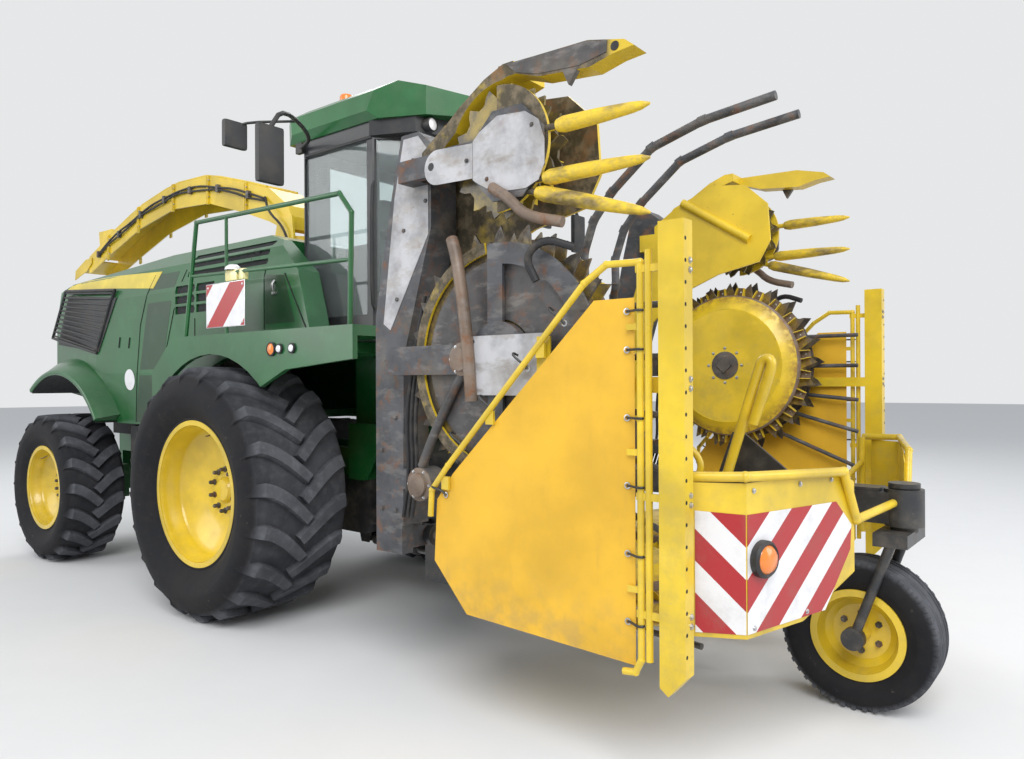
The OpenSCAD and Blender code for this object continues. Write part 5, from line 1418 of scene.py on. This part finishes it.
class WingsOperator(bpy.types.Operator):
    """Worn plates, pipes and castings under the two folded wings"""
    bl_idname = "harvester.wings"
    bl_label = "Wing fittings"

    # Distances from the machine's middle on a folded wing: the rotors' feet, the cover and the beam
    FOOT, COVER, BEAM = 1.538, 1.5305, 1.459

    def execute(self, context):
        for sign, side in SIDES:
            self.underside(sign, side)
        return {"FINISHED"}

    def underside(self, sign, side):
        shape = Shape(pale_plate, dark_steel, rusty_steel, hose_rubber, bright_steel, wing_yellow,
                      finger_paint)
        foot = self.FOOT

        def spot(x, y, z):
            return at(x, sign * y, z)

        def plate(outline, y, thick, look):
            shape.sheet([spot(x, y, z) for x, z in outline], Vector((0, sign * thick, 0)), look)

        def pipe(points, r, sides, look, smooth=2):
            shape.tube([spot(x, foot + off, z) for x, off, z in points], r, sides, look, smooth)

        # Pale worn plates over the gearboxes
        plate([(2.852, 1.742), (3.358, 1.742), (3.358, 2.048), (2.852, 2.048)], foot + 0.060, 0.003, 0)
        cap = [(2.885, 3.06), (2.93, 3.10), (3.05, 3.16), (3.23, 3.145), (3.31, 3.09), (3.345, 2.99),
               (3.345, 2.87), (3.31, 2.795), (3.23, 2.765), (3.03, 2.775), (2.93, 2.83), (2.885, 2.86)]
        plate(cap, foot + 0.060, 0.004, 0)
        arm = [(2.885, 2.872), (2.885, 3.055), (2.62, 3.070)]
        arm += [(2.62 + 0.095 * math.cos(a), 2.975 + 0.095 * math.sin(a))
                for a in (math.radians(105 + 15 * k) for k in range(12))]
        plate(arm, foot + 0.054, 0.004, 0)
        shape.turned(spot(2.575, foot + 0.057, 2.985), (0, sign, 0),
                     [(0.022, 0), (0.022, 0.0015), (0, 0.0015)], 20, 3)
        for x, z in ((3.27, 3.07), (2.98, 2.85), (2.88, 1.77), (3.33, 1.77), (2.88, 2.02), (3.33, 2.02),
                     (2.84, 2.97)):
            shape.stud(spot(x, foot + 0.063, z), (0, sign, 0), 0.009, 0.008, 1)
        # Rubbed wear plate on the divider's side, with its hook below and the eye in its tip
        plate([(3.05, 3.444), (3.55, 3.424), (3.66, 3.398), (3.655, 3.345), (3.50, 3.322), (3.26, 3.343),
               (3.12, 3.384)], self.COVER, 0.003, 1)
        plate([(3.40, 3.330), (3.50, 3.325), (3.44, 3.245)], self.COVER, -0.03, 1)
        shape.turned(spot(3.700, self.COVER, 3.362), (0, sign, 0),
                     [(0.022, 0), (0.022, 0.002), (0, 0.002)], 20, 3)
        # Tapered worn sheaths of the fingers
        for z in (2.570, 2.805, 3.045):
            dz = max(z - 3.0, -0.23)
            start = spot(3.03 + math.sqrt(0.276 ** 2 - dz * dz), foot + 0.030, 3.0 + dz)
            end = spot(3.860, foot + 0.020, z)
            run = (end - start).length
            shape.turned(start, end - start,
                         [(0.030, 0.10), (0.040, 0.14), (0.036, run * 0.6), (0.026, run * 0.9),
                          (0.020, run - 0.01), (0.006, run + 0.035), (0, run + 0.036)], 14, 6)
        # Yellow guard ring round the back half of the large rotor's foot
        rings = []
        for k in range(61):
            a = math.radians(100 + 160 * k / 60)
            u, v = math.cos(a), math.sin(a)
            rings.append([spot(3.03 + q * u, y, 1.93 + q * v)
                          for q, y in ((0.555, foot + 0.006), (0.615, foot + 0.006), (0.615, foot + 0.022),
                                       (0.555, foot + 0.022))])
        shape.rings(rings, 5)
        # Dark disc under the rotor, with ribs
        shape.turned(spot(3.03, foot - 0.002, 1.93), (0, sign, 0),
                     [(0.20, 0.012), (0.46, 0.004), (0.50, 0.010), (0.52, 0.004)], 64, 1)
        # Rust brown pipes and gearbox ends
        pipe([(2.74, 0.07, 2.57), (2.80, 0.09, 2.44), (2.86, 0.09, 2.07), (2.88, 0.075, 1.71)], 0.033, 14, 2)
        pipe([(3.02, 0.07, 2.80), (3.15, 0.09, 2.72), (3.25, 0.09, 2.62), (3.45, 0.06, 2.57)], 0.028, 12, 2)
        pipe([(3.30, 0.07, 2.30), (3.25, 0.10, 2.42), (3.36, 0.09, 2.50), (3.52, 0.06, 2.44)], 0.020, 10, 3)
        for x, z, r in ((2.80, 1.93, 0.088), (2.46, 1.24, 0.093)):
            y = foot + (0.060 if z > 1.5 else 0.040)
            shape.turned(spot(x, y, z), (0, sign, 0), [(r, -0.01), (r, 0.006), (r * 0.72, 0.012),
                                                      (r * 0.7, 0.03), (r * 0.3, 0.038), (0, 0.038)], 28, 2)
            for a in angles(6):
                shape.stud(spot(x + r * 0.84 * math.cos(a), y + 0.008, z + r * 0.84 * math.sin(a)),
                           (0, sign, 0), 0.007, 0.008, 4)
        pipe([(2.46, 0.02, 1.34), (2.56, 0.03, 1.52), (2.72, 0.03, 1.78), (2.78, 0.03, 1.85)],
             0.026, 12, 1, 1)
        # Hoses from the beam to the gearboxes
        for k in range(3):
            d = 0.035 * k
            shape.tube([spot(2.22 + d, 1.475, 1.02), spot(2.30 + d, 1.50, 1.30), spot(2.28 + d, 1.51, 1.60),
                        spot(2.34 + d, 1.50, 1.95 + d), spot(2.42 + d, 1.49, 2.30)], 0.012, 8, 3, smooth=2)
        # Bolts and a pale plate on the beam
        for x, z in ((2.02, 1.05), (2.14, 1.05), (2.02, 1.40), (2.14, 1.60), (2.06, 1.95), (2.16, 2.30),
                     (2.22, 2.70), (2.30, 3.10), (2.40, 2.85)):
            shape.stud(spot(x, self.BEAM, z), (0, sign, 0), 0.013, 0.012, 1)
        plate([(2.04, 2.16), (2.10, 2.12), (2.42, 2.66), (2.42, 3.14), (2.34, 3.235), (2.22, 3.235),
               (2.14, 2.90)], self.BEAM + 0.001, 0.003, 0)
        shape.piece(f"wing_fittings_{side}", f"wing_{side}", "worn_steel")


class GuardsOperator(bpy.types.Operator):
    """The two cloth guards, stretched on their frames, with hems, clips and straps"""
    bl_idname = "harvester.guards"
    bl_label = "Cloth guards"

    OUTLINE = [(3.85, 0.56), (3.85, 2.18), (3.64, 2.18), (2.76, 1.33), (2.64, 1.18), (2.62, 0.85),
               (2.85, 0.60)]
    POST_FRONT = 4.110
    GRID = 0.04
    THICK = 0.0025
    HEM, HEM_WIDTH, HEM_DEPTH = 0.035, 0.012, 0.0012

    def execute(self, context):
        for sign, side in SIDES:
            low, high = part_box(f"guard_tarp_{side}")
            y = (low.y + high.y) / 2
            cloth = self.cloth(f"guard_cloth_{side}", y, sign)
            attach(cloth, f"wing_{side}")
            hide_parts(f"guard_tarp_{side}")
            self.area(cloth)
            self.clips(sign, side, y)
        return {"FINISHED"}

    def area(self, cloth):
        """Area of the cloth's front face, which is half of its skin."""
        return sum(p.area for p in cloth.data.polygons) / 2

    def inside(self, x, z):
        """Shortest distance from the outline, positive inside."""
        best, sign = 1e9, -1
        for (x0, z0), (x1, z1) in zip(self.OUTLINE, self.OUTLINE[1:] + self.OUTLINE[:1]):
            if (z0 > z) != (z1 > z) and x < (x1 - x0) * (z - z0) / (z1 - z0) + x0:
                sign = -sign
            t = ((x - x0) * (x1 - x0) + (z - z0) * (z1 - z0)) / ((x1 - x0) ** 2 + (z1 - z0) ** 2)
            t = min(1, max(0, t))
            best = min(best, math.hypot(x - x0 - t * (x1 - x0), z - z0 - t * (z1 - z0)))
        return best * sign

    def cloth(self, name, y, sign):
        bm = bmesh.new()
        ring = [bm.verts.new((x, 0, z)) for x, z in self.OUTLINE]
        bm.faces.new(ring)
        for axis, reach in ((0, [x for x, _ in self.OUTLINE]), (2, [z for _, z in self.OUTLINE])):
            for k in range(1, int((max(reach) - min(reach)) / self.GRID)):
                point = Vector((0, 0, 0))
                point[axis] = min(reach) + k * self.GRID
                normal = Vector((0, 0, 0))
                normal[axis] = 1
                bmesh.ops.bisect_plane(bm, geom=list(bm.verts) + list(bm.edges) + list(bm.faces),
                                       plane_co=point, plane_no=normal)
        wave = sizes().cloth_wave
        for v in bm.verts:
            x, z = v.co.x, v.co.z
            deep = min(1.0, max(0.0, self.inside(x, z)) / 0.18)
            pull = math.sin(9.0 * (x + 0.8 * z)) * 0.35 + math.sin(5.2 * z - 3.1 * x) * 0.5
            pull += noise.noise(Vector((x * 2.3, sign * 4.0, z * 1.7))) * 1.2
            hem = math.exp(-((max(0.0, self.inside(x, z)) - self.HEM) / self.HEM_WIDTH) ** 2)
            v.co.y = y + sign * (wave * deep * (pull - 0.3) - self.HEM_DEPTH * hem)
            v.co.x += AXLE_X
        ends = bmesh.ops.extrude_face_region(bm, geom=list(bm.faces))
        for v in (g for g in ends["geom"] if isinstance(g, bmesh.types.BMVert)):
            v.co.y -= sign * self.THICK
        bmesh.ops.recalc_face_normals(bm, faces=bm.faces)
        # Points and faces are put in a fixed order, so that each run gives the same mesh
        points = sorted(bm.verts, key=lambda v: tuple(round(c, 4) for c in v.co))
        rank = {v: i for i, v in enumerate(points)}
        faces = sorted([rank[v] for v in face.verts] for face in bm.faces)
        mesh = bpy.data.meshes.new(name)
        mesh.from_pydata([v.co for v in points], [], faces)
        bm.free()
        mesh.materials.append(finish_of("guard_cloth", guard_cloth))
        mesh.shade_smooth()
        mesh.set_sharp_from_angle(angle=math.radians(50))
        return placed(name, mesh)

    def clips(self, sign, side, y):
        shape = Shape(hard_plastic, bright_steel, dark_inside)

        def spot(x, off, z):
            return at(x, y + sign * off, z)

        def strap(x, z, *bends):
            """A rubber strap from an eyelet in the hem round a tube of the frame."""
            shape.tube([spot(x, 0.006, z), *(spot(*bend) for bend in bends)], 0.006, 6, smooth=1)
            shape.turned(spot(x, 0.004, z), (0, sign, 0),
                         [(0.010, 0), (0.016, 0.001), (0.016, 0.003), (0.010, 0.004)], 16, 1, closed=True)

        for x, z, dx, dz in ((3.46, 2.105, -0.045, 0.045), (3.24, 1.895, -0.045, 0.045),
                             (3.02, 1.685, -0.045, 0.045), (2.82, 1.49, -0.045, 0.045),
                             (2.69, 1.23, -0.05, 0.02)):
            strap(x + 0.02, z - 0.02, (x, 0.012, z), (x + dx, 0.040, z + dz),
                  (x + dx * 1.3, 0.018, z + dz * 1.3), (x + dx, -0.004, z + dz))
        for z in (0.75, 1.05, 1.35, 1.65, 1.95, 2.12):
            strap(3.815, z, (3.84, 0.014, z), (3.885, 0.046, z), (3.91, 0.03, z), (3.89, 0.006, z))
        # Row of holes, drawn as dark discs of painted shade, and bolts down the post's face
        for k in range(20):
            hole = at(self.POST_FRONT, sign * 1.655, 0.66 + 0.092 * k)
            shape.turned(hole, (1, 0, 0), [(0.009, 0.0004), (0, 0.0005)], 12, 2)
        for z in (0.80, 1.31, 1.80, 2.30):
            for off in (-0.02, 0.02):
                shape.stud(at(self.POST_FRONT, sign * 1.615, z + off), (1, 0, 0), 0.010, 0.010, 1)
        shape.piece(f"guard_straps_{side}", f"wing_{side}", "black_plastic")


class HeaderOperator(bpy.types.Operator):
    """Hoses, valves and castings of the header and the feed cabinet, and the hand lever's stand"""
    bl_idname = "harvester.header"
    bl_label = "Header fittings"

    def execute(self, context):
        shape = Shape(hose_rubber, dark_steel, rusty_steel, bright_steel, yellow_paint)
        for sign in (-1, 1):
            for k in range(4):
                y = 0.46 + 0.05 * k
                shape.tube([at(1.20, sign * 0.402, 1.10 + 0.03 * k), at(1.45, sign * (y + 0.06), 1.16),
                            at(1.75, sign * (y + 0.08), 1.06 - 0.02 * k), at(1.962, sign * y, 0.98)],
                           0.013, 8, 0, smooth=2)
            # Valve block and drive box on the back wall
            shape.block(*boxed(sign, (1.86, 0.44, 0.84), (1.962, 0.70, 1.04)), 0.008, 1)
            for k in range(4):
                shape.turned(at(1.86, sign * (0.48 + 0.06 * k), 0.96), (-1, 0, 0),
                             [(0.02, 0), (0.02, 0.03), (0.013, 0.05), (0, 0.05)], 12, 3)
            shape.turned(at(1.962, sign * 0.86, 0.78), (-1, 0, 0),
                         [(0.12, 0), (0.12, 0.05), (0.08, 0.09), (0.05, 0.10), (0.05, 0.16), (0, 0.16)],
                         28, 2)
            for a in angles(8):
                spot = at(1.912, sign * (0.86 + 0.10 * math.cos(a)), 0.78 + 0.10 * math.sin(a))
                shape.stud(spot, (-1, 0, 0), 0.008, 0.009, 3)
            # Bolts along the cabinet's side
            for x in (1.0, 1.2, 1.4, 1.6, 1.8):
                for z in (0.72, 1.05):
                    shape.stud(at(x, sign * 0.400, z), (0, sign, 0), 0.011, 0.010, 3)
        # Bent yellow stand over the hand lever, and the parked hose's hook beside the post
        shape.tube([at(3.680, -0.250, 1.235), at(3.880, -0.250, 1.875), at(3.905, -0.250, 1.935),
                    at(3.955, -0.250, 1.935), at(3.950, -0.250, 1.860), at(3.850, -0.262, 1.560)],
                   0.030, 12, 4, smooth=2)
        shape.tube([at(3.86, -1.28, 1.54), at(3.95, -1.27, 1.50), at(4.00, -1.26, 1.42),
                    at(3.97, -1.27, 1.35), at(3.86, -1.28, 1.34)], 0.016, 10, 4, smooth=2)
        shape.piece("header_fittings", "header", "black_paint")
        return {"FINISHED"}


class StageOperator(bpy.types.Operator):
    """Pale floor, soft lamps and the camera at the photograph's angle"""
    bl_idname = "harvester.stage"
    bl_label = "Stage"

    # The camera as solved from the photo: its place, its turns in degrees and its lens in millimetres
    CAMERA = (5.555, -4.618, 1.817)
    HEADING, TILT, ROLL = 38.676, 90.072, -0.245
    SENSOR, LENS = 36.0, 27.18

    def execute(self, context):
        self.floor()
        self.world()
        self.lamps()
        self.camera()
        return {"FINISHED"}

    def floor(self):
        f = Finish("floor")
        grain = f.noise(3.0, 3.0)
        diffuse = f.node("ShaderNodeBsdfDiffuse", None,
                         {"Color": f.mix(grain, (0.74, 0.745, 0.75), (0.77, 0.775, 0.78))})
        f.node("ShaderNodeOutputMaterial", None, {"Surface": diffuse})
        shape = Shape()
        shape.turned((0, 0, -0.002), (0, 0, 1), [(60, 0), (0, 0)], 96)
        mesh = shape.mesh("floor")
        mesh.materials.append(f.material)
        floor = placed("floor", mesh)

    def world(self):
        """Soft light from all sides, and a brighter backdrop where it is seen, through glass or mirrored."""
        world = bpy.data.worlds.new("studio")
        bpy.context.scene.world = world
        f = Finish("studio", world)
        seen = f.node("ShaderNodeLightPath", output="Is Camera Ray")
        for ray in ("Is Transmission Ray", "Is Glossy Ray"):
            seen = seen.most(f.node("ShaderNodeLightPath", output=ray))
        light, back = [f.node("ShaderNodeBackground", None, {"Color": tint, "Strength": strength})
                       for tint, strength in (((0.93, 0.96, 1.0), 0.62), ((0.86, 0.87, 0.88), 0.92))]
        both = f.node("ShaderNodeMixShader", None, {0: seen, 1: light, 2: back})
        f.node("ShaderNodeOutputWorld", None, {"Surface": both})

    def lamps(self):
        for name, place, size, power in (("key", (9, -9, 11), 9, 1500), ("fill", (-8, -11, 6), 9, 500),
                                         ("rim", (-6, 10, 10), 9, 700), ("front", (13, 3, 6), 8, 450)):
            data = bpy.data.lights.new(name, "AREA")
            data.shape, data.size, data.energy = "DISK", size, power
            lamp = placed(name, data)
            lamp.location = place
            lamp.rotation_mode = "QUATERNION"
            lamp.rotation_quaternion = (Vector((0, 0, 1.5)) - Vector(place)).to_track_quat("-Z", "Y")

    def camera(self):
        data = bpy.data.cameras.new("camera")
        data.sensor_width = self.SENSOR
        data.lens = self.LENS
        data.clip_start, data.clip_end = 0.05, 200
        camera = placed("camera", data)
        heading, tilt, roll = [Matrix.Rotation(math.radians(angle), 4, axis) for angle, axis in (
            (self.HEADING, "Z"), (self.TILT, "X"), (self.ROLL, "Z"))]
        camera.matrix_world = Matrix.Translation(at(*self.CAMERA)) @ heading @ tilt @ roll
        bpy.context.scene.camera = camera
        bpy.context.scene.view_settings.view_transform = "Standard"


# add-on
OPERATORS = (PaintOperator, TyresOperator, RimsOperator, HoodOperator, CabOperator, SeatOperator,
             MirrorsOperator, LampsOperator, BoardsOperator, SpoutOperator, RotorsOperator,
             WingsOperator, GuardsOperator, HeaderOperator, StageOperator)


class HarvesterPanel(bpy.types.Panel):
    """Buttons and sizes of the harvester's looks"""
    bl_idname = "HARVESTER_PT_looks"
    bl_label = "Forage harvester"
    bl_space_type = "VIEW_3D"
    bl_region_type = "UI"
    bl_category = "Harvester"

    def draw(self, context):
        for group in (context.scene.harvester_colours, context.scene.harvester_sizes):
            for name in group.__annotations__:
                self.layout.prop(group, name)
        for operator in OPERATORS:
            self.layout.operator(operator.bl_idname)


CLASSES = (HarvesterColours, HarvesterSizes, *OPERATORS, HarvesterPanel)


def register():
    for cls in CLASSES:
        bpy.utils.register_class(cls)
    bpy.types.Scene.harvester_colours = bpy.props.PointerProperty(type=HarvesterColours)
    bpy.types.Scene.harvester_sizes = bpy.props.PointerProperty(type=HarvesterSizes)


def unregister():
    del bpy.types.Scene.harvester_colours
    del bpy.types.Scene.harvester_sizes
    for cls in reversed(CLASSES):
        bpy.utils.unregister_class(cls)


def main():
    register()
    for operator in OPERATORS:
        group, name = operator.bl_idname.split(".")
        getattr(getattr(bpy.ops, group), name)()


if __name__ == "__main__":
    main()
